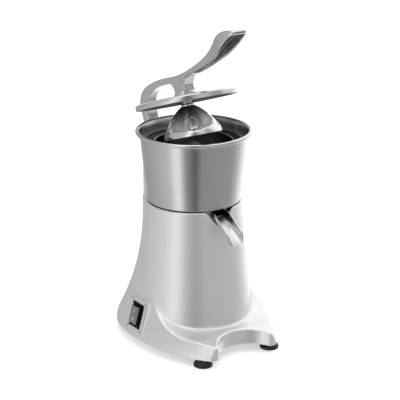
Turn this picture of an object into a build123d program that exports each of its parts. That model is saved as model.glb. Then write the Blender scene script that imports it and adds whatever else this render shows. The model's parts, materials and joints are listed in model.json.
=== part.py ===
"""Electric lever citrus juicer, in millimetres.

Origin on the drive axis at floor level, +Z up, spout towards -Y, switch on the -X side.
The lever is drawn closed and then raised to its resting angle.
"""
import math
import os

from build123d import *

# General fits
running_gap = 0.03          # radial, a shaft or pin turning in its bore
seat_gap = 0.3              # between pieces that lie beside each other
screw_gap = 0.2             # radial, a screw in a clearance hole
cut_past = 1.0              # a cutting tool runs this far past the face it opens
cutter_reach = 200.0        # half length of a tool that cuts right across a piece

# Bowl and its seat, which the casting follows
sheet = 1.5
belly_top_z = 217.5
bowl_step_radius = 66.0
collar_gap = 3.0            # free ring between the bowl's step and the collar
collar_wall = 4.0
collar_depth = 11.5
bowl_seat_thickness = 10.0
bowl_foot_overhang = 5.2
bowl_foot_lift = 1.5
bowl_wall_spread = 10.8
bowl_wall_height = 103.8
bowl_inner_lift = 0.9       # inner skin above the outer one on the sloping foot
rim_overhang = 5.5
rim_bead_radius = 3.0
tube_radius = 13.0
tube_height = 52.0
bowl_seat_z = belly_top_z - collar_depth
bowl_foot_radius = bowl_step_radius + bowl_foot_overhang
bowl_foot_z = belly_top_z + bowl_foot_lift
bowl_top_radius = bowl_foot_radius + bowl_wall_spread
rim_radius = bowl_top_radius + rim_overhang
rim_z = bowl_foot_z + bowl_wall_height
tube_top_z = bowl_seat_z + tube_height
collar_inner_radius = bowl_step_radius + collar_gap
belly_top_radius = collar_inner_radius + collar_wall

# Strainer and spout
strainer_flange_drop = 17.8
strainer_depth = 48.0
strainer_mouth_margin = 22.5
strainer_floor_margin = 32.0
strainer_flange_z = rim_z - strainer_flange_drop
strainer_mouth_radius = bowl_top_radius - strainer_mouth_margin
strainer_floor_radius = bowl_top_radius - strainer_floor_margin
strainer_floor_z = strainer_flange_z - strainer_depth
strainer_tube_gap = 2.0
strainer_bead_radius = 1.6
strainer_lip = 4.0
strainer_slot_count = 18
strainer_slot_margin = 5.5
strainer_slot_width = 2.4
chute_half_width = 13.0
chute_depth = 13.0
chute_fold_radius = 10.0
chute_reach = 44.7
chute_fall = 25.6           # end of the top edge below the belly's top
chute_rise = 0.62           # climb for each millimetre towards the bowl
chute_lip = 5.3             # floor running on past the end of the top edge
chute_cover = 3.0           # free height between the trough and the bowl's foot
chute_root = 4.0            # overlap of the raw trough with the bowl's foot before it is cut round
chute_end_y = -bowl_step_radius - chute_reach
chute_end_top_z = belly_top_z - chute_fall
chute_top_z = belly_top_z - chute_cover
outlet_depth = 12.0
outlet_rim = 1.0
notch_top_half_width = 24.0
notch_bottom_half_width = 7.7
notch_depth = 19.7
notch_root = 6.0            # the notch starts this far inside the bowl's step
notch_length = 40.0
notch_bottom_z = belly_top_z - notch_depth
notch_back_y = notch_root - bowl_step_radius

# Rear column and hinge
hinge_gap = 24.5            # hinge axis behind the bowl's rim
hinge_drop = 31.4           # hinge axis below the bowl's rim
ear_radius = 10.0
column_depth = 62.0
column_half_width = 19.0
column_corner_radius = 8.0
column_foot_z = 30.0
column_cap = 36.4           # solid top of the column, up to the hinge axis
column_shoulder_drop = 28.0
bowl_swing_gap = 4.0
hinge_pin_radius = 4.0
hinge_pin_overhang = 4.0
hinge_clip_thickness = 1.0
hinge_clip_radius = 6.5
fork_depth = 15.0
lever_rest_angle = 20.0
hinge_y = rim_radius + hinge_gap
hinge_z = rim_z - hinge_drop
column_rear_y = hinge_y + ear_radius
column_front_y = column_rear_y - column_depth
column_hollow_top_z = hinge_z - column_cap

# Housing casting
housing_wall = 4.0
belly_taper = 0.088         # radius gained for each millimetre down
skirt_max_half_width = 106.5
skirt_front_reach = 169.0
skirt_rear_margin = 1.0
skirt_rear_reach = column_rear_y + skirt_rear_margin
skirt_centre_y = 5.0
skirt_rear_power = 2.5
skirt_outline_points = 40
skirt_bend_height = 70.0    # sections of the skirt are bunched below this height above its foot
skirt_lower_sections = 6
skirt_upper_sections = 4
skirt_shoulder = 4.0        # softness of the bend where the flare meets the skirt
waist_inset = 3.5
waist_rear_margin = 1.0
waist_drop = 17.5
waist_half_width = belly_top_radius - waist_inset
waist_rear_reach = belly_top_radius + waist_rear_margin
side_flare = 0.685
rear_flare = 0.96
flare_radius = 320.0
flare_top_z = belly_top_z - waist_drop
toe_y = -137.0
toe_top_z = 32.5
bay_radius = 50.0
bay_margin = 19.0           # centre of the round bay before the toes
bay_centre_y = toe_y - bay_margin
deck_z = 37.5
deck_slope_start_y = -108.0
deck_curve_start_y = -100.0
deck_curve_radius = 109.0
boss_radius = 6.0
boss_height = 84.0

# Feet and base plate
foot_height = 11.0
foot_radius = 14.3
foot_neck_radius = 8.5
foot_pad_height = 4.0
foot_edge = 1.0
foot_front_inset = 45.8     # from the skirt's edge at the foot
foot_rear_inset = 39.8
foot_front_setback = 21.0
foot_rear_setback = 41.0
foot_screw_radius = 2.5
foot_screw_head_radius = 4.5
foot_screw_head_height = 3.0
foot_screw_sunk = 1.0
foot_screw_end = 5.0        # screw end above the base plate
foot_nut_height = 4.0
base_plate_thickness = 2.5
vent_slot_length = 34.0
vent_slot_width = 4.0
vent_slot_count = 5
vent_slot_pitch = 11.0
plate_screw_radius = 2.0
plate_screw_head_radius = 3.8
plate_screw_head_height = 2.4
plate_screw_length = 12.0
plate_screw_spare = 1.0     # thread left free above the screw end
plate_screw_front_inset = 15.8
plate_screw_front_y = -30.0
plate_screw_side_inset = 19.8
plate_screw_side_y = 52.0
plate_screw_rear_x = 36.0
plate_screw_rear_setback = 15.0

# Motor
shaft_radius = 7.5
shaft_tail = 2.0            # shaft end below the fan
motor_margin = 15.0         # motor inside the belly's top radius
motor_radius = belly_top_radius - motor_margin
motor_rim = 10.0
motor_end_plate = 5.0
stator_length = 50.0
stator_bore_radius = 28.3
air_gap = 0.5
rotor_overhang = 2.0
winding_inner_radius = 31.0
winding_rim_gap = 2.0
winding_outer_radius = motor_radius - motor_rim - winding_rim_gap
winding_height = 13.0
upper_bracket_depth = 33.0
lower_bracket_depth = 33.0
bearing_outer_radius = 17.5
bearing_width = 11.0
bearing_housing_wall = 6.0
bearing_pocket_spare = 1.0
motor_bolt_radius = 2.5
motor_bolt_head_radius = 4.2
motor_bolt_head_height = 4.0
motor_bolt_end_gap = 2.0
mount_screw_inset = 20.0
mount_screw_circle = motor_radius - mount_screw_inset
mount_screw_radius = 2.5
mount_screw_head_radius = 4.3
mount_screw_head_height = 4.0
fan_inset = 16.0
fan_radius = motor_radius - fan_inset
fan_height = 14.0
fan_hub_radius = 13.0
fan_blade_count = 9
fan_blade_thickness = 2.0
fan_disc_thickness = 2.0
fan_bracket_gap = 4.0
fan_blade_root = 1.0
seal_radius = 16.0
seal_height = 7.0
seal_lift = 0.5
capacitor_radius = 16.0
capacitor_length = 58.0
capacitor_inset = 21.7      # from the skirt's edge at the capacitor's top
capacitor_y = 16.0
capacitor_strap = 1.5
capacitor_strap_height = 14.0

# Reamer
reamer_base_radius = 38.0
reamer_lift = 5.0           # above the strainer's floor
reamer_base_thickness = 4.0
reamer_height = 44.0
reamer_shoulder_radius = 26.0
reamer_shoulder_height = 24.0
reamer_base_z = strainer_floor_z + reamer_lift
reamer_tip_z = reamer_base_z + reamer_height
reamer_shoulder_z = reamer_base_z + reamer_shoulder_height
reamer_tip_radius = 4.0
reamer_rib_count = 10
reamer_rib_height = 3.0
reamer_rib_width = 4.0
reamer_rib_inset = 1.0
reamer_wall = 3.0
reamer_cap = 9.0
spigot_radius = 5.0
spigot_drop = 12.0          # shoulder of the shaft below the reamer
spigot_reach = 30.0
spigot_start_z = reamer_base_z - spigot_drop
spigot_top_z = reamer_base_z + spigot_reach
hub_radius = 9.5
drive_pin_radius = 1.5
drive_pin_length = 17.0
drive_pin_lift = 8.0
drive_pin_z = reamer_base_z + drive_pin_lift

# Lever, lid and dome, drawn closed
arm_half_width = 9.75
eye_radius = 9.5
bush_radius = 6.0
bush_flange_radius = 8.0
bush_flange_thickness = 0.8
boss_half_length = 13.5
boss_skirt_height = 8.0
post_rear = 12.0            # arched post behind and before the hinge axis
post_front = 7.0
post_foot_taper = 3.0
post_front_spread = 1.0
post_rear_height = 45.0
post_front_height = 40.0
# Y and height above the boss's foot
arm_top_line = [(113.0, 13.0), (82.0, 23.5), (45.0, 25.8), (0.0, 24.8), (-45.0, 30.5), (-94.0, 44.2),
                (-133.0, 62.6), (-157.0, 65.9), (-172.0, 62.2)]
arm_grip_line = [(-173.0, 57.6), (-140.0, 44.5), (-122.0, 36.0), (-96.0, 29.3), (-60.0, 23.0), (-22.5, 18.6)]
arm_arch_line = [(22.5, 14.6), (49.0, 15.6), (70.0, 13.4), (91.0, 8.4)]
grip_half_width = 17.0
grip_tip_half_width = 15.0
grip_tip_y = -173.0
grip_start_y = -96.0
grip_widest_y = -139.0
grip_hollow_start_y = -40.0
grip_tip_run = 6.0
grip_tip_round = 4.0
grip_samples = 6
grip_lip = 3.0
grip_skin = 5.0
lid_inset = 4.5             # inside the bowl's top radius
lid_gap = 3.2               # closed, above the rim's centre
lid_height = 9.5
lid_crown = 1.5
lid_edge_radius = 2.0
lid_collar_radius = 17.0
lid_collar_height = 6.4
lid_radius = bowl_top_radius - lid_inset
lid_bottom_z = rim_z + lid_gap
lid_top = lid_bottom_z + lid_height + lid_crown
boss_bottom_z = lid_top + lid_collar_height
stem_radius = 8.6
stem_neck_radius = 6.0
stem_thread_radius = 5.0
stem_thread_length = 18.0
stem_thread_spare = 1.0
dome_rim_radius = 45.5
dome_drop = 51.3            # rim of the dome below the lid
dome_rim_z = lid_bottom_z - dome_drop
dome_height = 45.8
dome_crown_radius = 9.8
dome_sheet = 1.6
dome_sides = [(0.842, 0.349), (0.611, 0.666), (0.413, 0.862)]     # share of the rim radius and of the height
dome_rim_lean = 0.15
dome_crown_slope = 0.5

# Switch
switch_proud = 4.1          # panel outside the flank at its middle height
switch_y = 6.5
switch_z = 46.6
switch_lean = 15.0
switch_pad_width = 41.0
switch_pad_height = 49.0
switch_pad_depth = 22.0
switch_pad_chamfer = 2.0
switch_tunnel_depth = 52.0
switch_opening_width = 30.0
switch_opening_height = 38.0
bezel_rim = 3.5
bezel_depth = 3.0
bezel_recess = 1.0
switch_body_depth = 22.0
rocker_width = 13.0
rocker_length = 22.0
rocker_tilt = 8.0
rocker_pivot_depth = 4.0
rocker_height = 3.2
rocker_keel = 3.5
rocker_room = 1.0
rocker_pin_radius = 1.5
rocker_pin_length = 26.0
rocker_dish = 1.2
rocker_taper = 1.0
rocker_keel_half = 3.0
boot_height = 6.0
boot_wall = 1.0
boot_draft = 2.5

# Cable gland
gland_z = 66.0
gland_radius = 8.0
gland_flange_radius = 11.0
gland_flange_thickness = 4.0
gland_bore_radius = 3.8
gland_length = 18.0
gland_nut_radius = 11.0
gland_nut_thickness = 5.0


def bar_z(radius, low, high, x=0.0, y=0.0):
    """Upright round bar between two heights."""
    return Pos(x, y, low) * Cylinder(radius, high - low, align=(Align.CENTER, Align.CENTER, Align.MIN))


def ring(outer, inner, low, high, x=0.0, y=0.0):
    """Upright tube between two heights."""
    return bar_z(outer, low, high, x, y) - bar_z(inner, low - cut_past, high + cut_past, x, y)


def bar_x(radius, left, right, y, z):
    """Round bar along X."""
    upright = Cylinder(radius, right - left, align=(Align.CENTER, Align.CENTER, Align.MIN))
    return Pos(left, y, z) * (Rot(0, 90, 0) * upright)


def bar_y(radius, front, rear, x, z):
    """Round bar along Y."""
    upright = Cylinder(radius, rear - front, align=(Align.CENTER, Align.CENTER, Align.MIN))
    return Pos(x, front, z) * (Rot(-90, 0, 0) * upright)


def around(radius, start):
    """Four places a quarter turn apart round the drive axis."""
    turns = [math.radians(start + 90 * quarter) for quarter in range(4)]
    return [(radius * math.cos(turn), radius * math.sin(turn)) for turn in turns]


def turned(points):
    """Solid of revolution about the drive axis from (radius, height) corners."""
    return revolve(Plane.XZ * make_face(Polyline(*points, close=True)), Axis.Z)


def side_slab(face, half_width):
    """Thickness across X for a face drawn as (Y, Z)."""
    return extrude(Plane.YZ * face, half_width, both=True)


def flare_drop(z):
    """Sideways growth of the flared flank below the waist."""
    below = max(flare_top_z - z, 0.0)
    return flare_radius - math.sqrt(flare_radius**2 - below**2)


def soft_min(a, b):
    """Smaller of two sizes, with a soft bend where they meet."""
    return 0.5 * (a + b - math.hypot(a - b, skirt_shoulder))


def skirt_half_width(z):
    """Half width of the flared skirt at one height."""
    return soft_min(waist_half_width + side_flare * flare_drop(z), skirt_max_half_width)


def skirt_outline(z, inset):
    """Plan outline of the flared skirt at one height, moved in by the inset."""
    half_width = skirt_half_width(z)
    rear = soft_min(waist_rear_reach + rear_flare * flare_drop(z), skirt_rear_reach) - inset
    front = skirt_front_reach * half_width / skirt_half_width(foot_height) - inset
    half_width -= inset
    points = []
    for index in range(skirt_outline_points):
        turn = 2 * math.pi * index / skirt_outline_points
        across, along = math.cos(turn), math.sin(turn)
        power = 2 / skirt_rear_power if along > 0 else 1.0
        reach = rear if along > 0 else front
        x = half_width * math.copysign(abs(across) ** power, across)
        y = skirt_centre_y + reach * math.copysign(abs(along) ** power, along)
        points.append((x, y, z))
    return make_face(Spline(*points, periodic=True))


def flared_skirt(inset, low, high):
    """Skirt lofted through plan outlines, bunched where the flank bends."""
    bend_z = foot_height + skirt_bend_height
    lower, upper = skirt_lower_sections, skirt_upper_sections
    heights = [low + (bend_z - low) * step / lower for step in range(lower)]
    heights += [bend_z + (high - bend_z) * step / upper for step in range(upper + 1)]
    return loft([skirt_outline(z, inset) for z in heights])


def belly_radius(z):
    """Radius of the tapered front drum of the housing."""
    return belly_top_radius + belly_taper * (belly_top_z - z)


def front_void(inset):
    """Space above the deck that the ski-slope front leaves open."""
    end_y = deck_curve_start_y + deck_curve_radius + inset
    end_z = deck_z + deck_curve_radius
    slope = (deck_z - toe_top_z) / (deck_slope_start_y - toe_y)
    far_y = toe_y - bay_radius
    far_z = toe_top_z - inset - slope * (toe_y - far_y)
    ceiling = hinge_z + cutter_reach
    mid = math.radians(45)
    mid_y = deck_curve_start_y + (deck_curve_radius + inset) * math.sin(mid)
    mid_z = end_z - (deck_curve_radius + inset) * math.cos(mid)
    floor_z = deck_z - inset
    edges = Polyline((far_y, far_z), (deck_slope_start_y, floor_z), (deck_curve_start_y, floor_z))
    edges += ThreePointArc((deck_curve_start_y, floor_z), (mid_y, mid_z), (end_y, end_z))
    edges += Polyline((end_y, end_z), (end_y, ceiling), (far_y, ceiling), (far_y, far_z))
    return side_slab(make_face(edges), cutter_reach)


def front_cuts(inset):
    """Tools that leave the round bay and the blunt toes."""
    bay = bar_z(bay_radius + inset, -cutter_reach, cutter_reach, 0, bay_centre_y)
    toes = Pos(0, toe_y + inset, 0) * Box(2 * cutter_reach, cutter_reach, 2 * cutter_reach,
                                          align=(Align.CENTER, Align.MAX, Align.CENTER))
    return [bay, toes]


def rear_column(inset, high):
    """Upright rear column with rounded corners."""
    rear = column_rear_y - inset
    corner = column_corner_radius - inset
    plate = RectangleRounded(2 * (column_half_width - inset), rear - column_front_y, corner)
    return extrude(Pos(0, (column_front_y + rear) / 2, column_foot_z) * plate, high - column_foot_z)


def shoulder_cut():
    """Tool for the sloping front shoulder under the hinge ears."""
    ear_front = hinge_y - ear_radius
    face = make_face(Polyline((ear_front, hinge_z), (bowl_top_radius, hinge_z - column_shoulder_drop),
                              (0, hinge_z - column_shoulder_drop), (0, hinge_z), close=True))
    return side_slab(face, cutter_reach)


def housing_form(inset, low, belly_high, column_high):
    """Whole outside shape of the casting up to the hinge axis, moved in by the inset."""
    foot, top = belly_radius(low) - inset, belly_radius(belly_high) - inset
    belly = turned([(0, low), (foot, low), (top, belly_high), (0, belly_high)])
    form = flared_skirt(inset, low, belly_high) + rear_column(inset, column_high)
    form -= front_void(inset)
    for tool in front_cuts(inset):
        form -= tool
    form += belly
    return form - bar_z(rim_radius + bowl_swing_gap + inset, belly_high, hinge_z + cutter_reach)


# Heights that follow from the seats
bowl_seat_under = bowl_seat_z - bowl_seat_thickness
foot_screw_seat_z = foot_screw_head_height + foot_screw_sunk
housing_bottom = foot_height
plate_top = foot_height + base_plate_thickness
boss_top_z = plate_top + boss_height
bowl_inner_top = bowl_top_radius - sheet
shaft_hole_radius = shaft_radius + 1.5
motor_top = bowl_seat_under
upper_rim_bottom = motor_top - upper_bracket_depth
stator_bottom = upper_rim_bottom - stator_length
motor_bottom = stator_bottom - lower_bracket_depth
fan_top = motor_bottom - fan_bracket_gap
shaft_bottom_z = fan_top - fan_height - shaft_tail
foot_half_width = skirt_half_width(foot_height)
foot_front_x, foot_rear_x = foot_half_width - foot_front_inset, foot_half_width - foot_rear_inset
foot_front_y, foot_rear_y = toe_y + foot_front_setback, skirt_rear_reach - foot_rear_setback
plate_screw_places = [(sign * x, y) for x, y in (
    (foot_half_width - plate_screw_front_inset, plate_screw_front_y),
    (foot_half_width - plate_screw_side_inset, plate_screw_side_y),
    (plate_screw_rear_x, skirt_rear_reach - plate_screw_rear_setback)) for sign in (-1, 1)]
capacitor_x = skirt_half_width(plate_top + capacitor_length) - capacitor_inset
switch_x = -skirt_half_width(switch_z) - switch_proud
switch_plane = Plane(origin=(switch_x, switch_y, switch_z), x_dir=(0, -1, 0),
                     z_dir=(-math.cos(math.radians(switch_lean)), 0, math.sin(math.radians(switch_lean))))
foot_places = {
    "foot_front_left": (-foot_front_x, foot_front_y),
    "foot_front_right": (foot_front_x, foot_front_y),
    "foot_rear_left": (-foot_rear_x, foot_rear_y),
    "foot_rear_right": (foot_rear_x, foot_rear_y),
}
mount_screw_places = around(mount_screw_circle, 45)
bolt_circle = motor_radius - motor_rim / 2
motor_bolt_tip = motor_top - motor_end_plate - motor_bolt_end_gap
motor_bolt_places = around(bolt_circle, 0)


def switch_block(width, height, outer, inner):
    """Box square to the switch panel, between two depths behind its face."""
    block = Box(width, height, inner - outer, align=(Align.CENTER, Align.CENTER, Align.MIN))
    return switch_plane * (Pos(0, 0, -inner) * block)


def make_housing():
    """Hollow casting with bowl seat, spout notch, switch pad, screw bosses and hinge fork."""
    outer = housing_form(0, housing_bottom, belly_top_z, hinge_z) - shoulder_cut()
    outer += bar_x(ear_radius, -column_half_width, column_half_width, hinge_y, hinge_z)
    pad = Pos(0, 0, -switch_pad_depth) * Box(switch_pad_width, switch_pad_height, switch_pad_depth,
                                             align=(Align.CENTER, Align.CENTER, Align.MIN))
    pad = chamfer(pad.edges().group_by(Axis.Z)[-1], switch_pad_chamfer)
    inner = housing_form(housing_wall, housing_bottom - cut_past, bowl_seat_under, column_hollow_top_z)
    bosses = [bar_z(boss_radius, plate_top, boss_top_z, x, y) for x, y in plate_screw_places]
    middle = housing_form(housing_wall / 2, housing_bottom, belly_top_z - housing_wall, column_hollow_top_z)
    shell = outer + switch_plane * pad
    shell -= inner
    shell += Compound(bosses) & middle
    shell -= bar_z(collar_inner_radius, bowl_seat_z, belly_top_z + cut_past)
    shell -= bar_z(seal_radius, bowl_seat_under - cut_past, bowl_seat_z + cut_past)
    notch_top_z = belly_top_z + cut_past
    wide, narrow = notch_top_half_width, notch_bottom_half_width
    notch = make_face(Polyline((-wide, notch_top_z), (-narrow, notch_bottom_z), (narrow, notch_bottom_z),
                               (wide, notch_top_z), close=True))
    shell -= Pos(0, notch_back_y, 0) * extrude(Plane.XZ * notch, notch_length)
    head_low = bowl_seat_z - mount_screw_head_height - seat_gap
    for x, y in mount_screw_places:
        shell -= bar_z(mount_screw_radius + screw_gap, bowl_seat_under - cut_past, head_low + cut_past, x, y)
        shell -= bar_z(mount_screw_head_radius + screw_gap, head_low, bowl_seat_z + cut_past, x, y)
    for x, y in plate_screw_places:
        shell -= bar_z(plate_screw_radius, plate_top - cut_past, plate_top + plate_screw_length, x, y)
    shell -= switch_block(switch_opening_width, switch_opening_height, -cut_past, switch_tunnel_depth)
    slot_half = arm_half_width + seat_gap
    shell -= Pos(0, hinge_y, hinge_z - fork_depth) * Box(2 * slot_half, cutter_reach, cutter_reach,
                                                         align=(Align.CENTER, Align.CENTER, Align.MIN))
    shell -= bar_x(hinge_pin_radius, -cutter_reach, cutter_reach, hinge_y, hinge_z)
    return shell - bar_y(gland_radius, column_rear_y - gland_length, column_rear_y + cut_past, 0, gland_z)


def make_base_plate():
    """Flat steel floor of the casing with vents and screw holes."""
    inset = housing_wall + seat_gap
    plate = extrude(skirt_outline(foot_height, inset), base_plate_thickness)
    for tool in front_cuts(inset):
        plate -= tool
    low, high = foot_height - cut_past, plate_top + cut_past
    for x, y in foot_places.values():
        plate -= bar_z(foot_screw_radius + screw_gap, low, high, x, y)
    for x, y in plate_screw_places:
        plate -= bar_z(plate_screw_radius + screw_gap, low, high, x, y)
    for index in range(vent_slot_count):
        y = (index - (vent_slot_count - 1) / 2) * vent_slot_pitch
        slot = SlotOverall(vent_slot_length, vent_slot_width)
        plate -= Pos(0, y, low) * extrude(slot, high - low)
    return plate


def screw(radius, head_radius, head_height, tip_z, seat_z, x, y):
    """Pan-head screw whose head lies against the seat, above or below the tip."""
    if tip_z > seat_z:
        return bar_z(radius, seat_z, tip_z, x, y) + bar_z(head_radius, seat_z - head_height, seat_z, x, y)
    return bar_z(radius, tip_z, seat_z, x, y) + bar_z(head_radius, seat_z, seat_z + head_height, x, y)


def make_foot(x, y):
    """Rubber foot, wide at the floor, with a recess for its screw."""
    foot = turned([(0, 0), (foot_radius - foot_edge, 0), (foot_radius, foot_edge),
                   (foot_radius, foot_pad_height), (foot_neck_radius, foot_height), (0, foot_height)])
    foot -= bar_z(foot_screw_head_radius + screw_gap, -cut_past, foot_screw_seat_z)
    foot -= bar_z(foot_screw_radius + screw_gap, -cut_past, foot_height + cut_past)
    return Pos(x, y, 0) * foot


def make_bowl():
    """Drawn steel bowl with rolled rim, stepped foot and central splash tube."""
    step_top = belly_top_z + seat_gap
    outer = [(bowl_step_radius, bowl_seat_z), (bowl_step_radius, step_top), (bowl_foot_radius, bowl_foot_z),
             (bowl_top_radius, rim_z)]
    inner = [(radius - sheet, z + bowl_inner_lift) for radius, z in outer[1:3]]
    floor_z = bowl_seat_z + sheet
    tube_inner = tube_radius - sheet
    profile = outer + [(bowl_inner_top, rim_z)] + inner[::-1]
    profile += [(bowl_step_radius - sheet, floor_z), (tube_radius, floor_z), (tube_radius, tube_top_z),
                (tube_inner, tube_top_z), (tube_inner, bowl_seat_z)]
    bead = revolve(Plane.XZ * (Pos(rim_radius - rim_bead_radius, rim_z) * Circle(rim_bead_radius)), Axis.Z)
    bowl = turned(profile) + bead
    outlet = Box(2 * (chute_half_width - sheet), outlet_depth, step_top - floor_z - outlet_rim,
                 align=(Align.CENTER, Align.CENTER, Align.MIN))
    return bowl - Pos(0, -bowl_step_radius, floor_z) * outlet


def make_chute():
    """Open steel spout with a rounded floor, welded to the bowl's foot."""
    slope = math.atan(chute_rise)
    along = Plane(origin=(0, chute_end_y, chute_end_top_z), x_dir=(1, 0, 0),
                  z_dir=(0, -math.cos(slope), -math.sin(slope)))
    run = (chute_end_y + bowl_step_radius - chute_root) / math.cos(slope)

    def channel(inset, rise):
        half, floor, fold = chute_half_width - inset, inset - chute_depth, chute_fold_radius - inset
        bend = fold * (1 - math.sqrt(0.5))
        edges = Polyline((-half, floor + fold), (-half, rise), (half, rise), (half, floor + fold))
        edges += ThreePointArc((half, floor + fold), (half - bend, floor + bend), (half - fold, floor))
        edges += Line((half - fold, floor), (fold - half, floor))
        edges += ThreePointArc((fold - half, floor), (bend - half, floor + bend), (-half, floor + fold))
        return make_face(edges)

    reach = (chute_depth + chute_lip) / math.cos(slope)
    trough = along * (Pos(0, 0, run) * extrude(channel(0, 0), reach - run))
    hollow = extrude(channel(sheet, cutter_reach), reach - run + 2 * cut_past)
    trough -= along * (Pos(0, 0, run - cut_past) * hollow)
    drop = chute_depth / math.cos(slope) + chute_lip * chute_rise
    lean = chute_lip / drop
    over, under = cutter_reach, 2 * cutter_reach
    end = make_face(Polyline((chute_end_y + lean * over, chute_end_top_z + over),
                             (chute_end_y - lean * under, chute_end_top_z - under),
                             (chute_end_y - under, chute_end_top_z - under),
                             (chute_end_y - under, chute_end_top_z + over), close=True))
    trough -= side_slab(end, cutter_reach)
    trough -= Pos(0, 0, chute_top_z) * Box(2 * cutter_reach, 2 * cutter_reach, cutter_reach,
                                           align=(Align.CENTER, Align.CENTER, Align.MIN))
    return trough - bar_z(bowl_step_radius, bowl_seat_z - cutter_reach, chute_top_z + cut_past)


def make_strainer():
    """Perforated basket with a wide flange that lies on the bowl's taper."""
    taper = (bowl_top_radius - bowl_foot_radius) / (rim_z - bowl_foot_z)
    flange_top = strainer_flange_z + sheet
    lip_top = flange_top + strainer_lip

    def bowl_inner(z):
        return bowl_foot_radius + taper * (z - bowl_foot_z) - sheet - seat_gap

    mouth_inner = strainer_mouth_radius - sheet
    floor_top = strainer_floor_z + sheet
    hole = tube_radius + strainer_tube_gap
    profile = [(hole, strainer_floor_z), (strainer_floor_radius, strainer_floor_z),
               (strainer_mouth_radius, strainer_flange_z), (bowl_inner(strainer_flange_z), strainer_flange_z),
               (bowl_inner(lip_top), lip_top), (bowl_inner(lip_top) - sheet, lip_top),
               (bowl_inner(flange_top) - sheet, flange_top), (mouth_inner, flange_top),
               (strainer_floor_radius - sheet, floor_top), (hole, floor_top)]
    bead_ring = Pos(strainer_mouth_radius, flange_top) * Circle(strainer_bead_radius)
    basket = turned(profile) + revolve(Plane.XZ * bead_ring, Axis.Z)
    middle = (hole + strainer_floor_radius) / 2
    slot_length = strainer_floor_radius - hole - 2 * strainer_slot_margin
    slot = extrude(SlotOverall(slot_length, strainer_slot_width), sheet + 2 * cut_past)
    for index in range(strainer_slot_count):
        turn = 360 * index / strainer_slot_count
        basket -= Rot(0, 0, turn) * (Pos(middle, 0, strainer_floor_z - cut_past) * slot)
    return basket


def make_bracket(rim_low, rim_high, plate_at_top):
    """Cup-shaped motor end bracket with its bearing pocket."""
    plate_low = rim_high - motor_end_plate if plate_at_top else rim_low
    bracket = ring(motor_radius, motor_radius - motor_rim, rim_low, rim_high)
    bracket += ring(motor_radius, shaft_hole_radius, plate_low, plate_low + motor_end_plate)
    pocket = bearing_width + bearing_pocket_spare
    hub_low = plate_low - pocket if plate_at_top else plate_low + motor_end_plate
    hub = bearing_outer_radius + bearing_housing_wall
    bracket += ring(hub, bearing_outer_radius, hub_low, hub_low + pocket)
    bolt_fit = 0.0 if plate_at_top else screw_gap
    for x, y in motor_bolt_places:
        bracket -= bar_z(motor_bolt_radius + bolt_fit, rim_low - cut_past, motor_bolt_tip, x, y)
    if plate_at_top:
        for x, y in mount_screw_places:
            bracket -= bar_z(mount_screw_radius, plate_low - cut_past, rim_high + cut_past, x, y)
    return bracket


def make_stator():
    """Laminated stack between the two brackets."""
    low, high = stator_bottom, upper_rim_bottom
    stack = ring(motor_radius, stator_bore_radius, low, high)
    for x, y in motor_bolt_places:
        stack -= bar_z(motor_bolt_radius + screw_gap, low - cut_past, high + cut_past, x, y)
    return stack


def make_bearing(low):
    """Ball bearing drawn as one shielded ring."""
    return ring(bearing_outer_radius, shaft_radius + running_gap, low, low + bearing_width)


def make_fan():
    """Cooling fan with straight blades under a disc."""
    top = fan_top
    fan = bar_z(fan_hub_radius, top - fan_height, top) + bar_z(fan_radius, top - fan_disc_thickness, top)
    reach = fan_radius - fan_hub_radius + fan_blade_root
    for index in range(fan_blade_count):
        blade = Pos(fan_hub_radius - fan_blade_root, 0, top - fan_height) * Box(
            reach, fan_blade_thickness, fan_height, align=(Align.MIN, Align.CENTER, Align.MIN))
        fan += Rot(0, 0, 360 * index / fan_blade_count) * blade
    return fan - bar_z(shaft_radius, top - fan_height - cut_past, top + cut_past)


def make_shaft():
    """Motor shaft with a slimmer spigot for the reamer and a cross hole."""
    shaft = bar_z(shaft_radius, shaft_bottom_z, spigot_start_z)
    shaft += bar_z(spigot_radius, spigot_start_z, spigot_top_z)
    return shaft - bar_x(drive_pin_radius, -cutter_reach, cutter_reach, 0, drive_pin_z)


def make_reamer():
    """Ribbed cone that sits on the spigot and is turned by the cross pin."""
    base_top = reamer_base_z + reamer_base_thickness
    skin = [(0, reamer_base_z), (reamer_base_radius, reamer_base_z), (reamer_base_radius, base_top),
            (reamer_shoulder_radius, reamer_shoulder_z), (reamer_tip_radius, reamer_tip_z), (0, reamer_tip_z)]
    cone = turned(skin)
    rib = make_face(Polyline((0, base_top), (reamer_base_radius - reamer_rib_inset, base_top),
                             (reamer_shoulder_radius + reamer_rib_height, reamer_shoulder_z),
                             (reamer_tip_radius + reamer_rib_height / 2, reamer_tip_z), (0, reamer_tip_z),
                             close=True))
    blade = extrude(Plane.XZ * rib, reamer_rib_width / 2, both=True)
    for index in range(reamer_rib_count):
        cone += Rot(0, 0, 360 * index / reamer_rib_count) * blade
    hollow_top = reamer_tip_z - reamer_cap
    mouth_z = reamer_base_z - cut_past
    cone -= turned([(hub_radius, mouth_z), (reamer_base_radius - reamer_wall, mouth_z),
                    (reamer_shoulder_radius - reamer_wall, reamer_shoulder_z - reamer_wall),
                    (hub_radius, hollow_top)])
    cone -= bar_z(spigot_radius + running_gap, mouth_z, spigot_top_z + seat_gap)
    slot_radius = drive_pin_radius + running_gap
    cone -= bar_x(slot_radius, -hub_radius, hub_radius, 0, drive_pin_z)
    return cone - Pos(0, 0, drive_pin_z) * Box(2 * hub_radius, 2 * slot_radius, drive_pin_z - mouth_z,
                                               align=(Align.CENTER, Align.CENTER, Align.MAX))


def raised(shape):
    """Lever piece turned from closed to its resting angle."""
    return shape.rotate(Axis((0, hinge_y, hinge_z), (-1, 0, 0)), lever_rest_angle)


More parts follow.
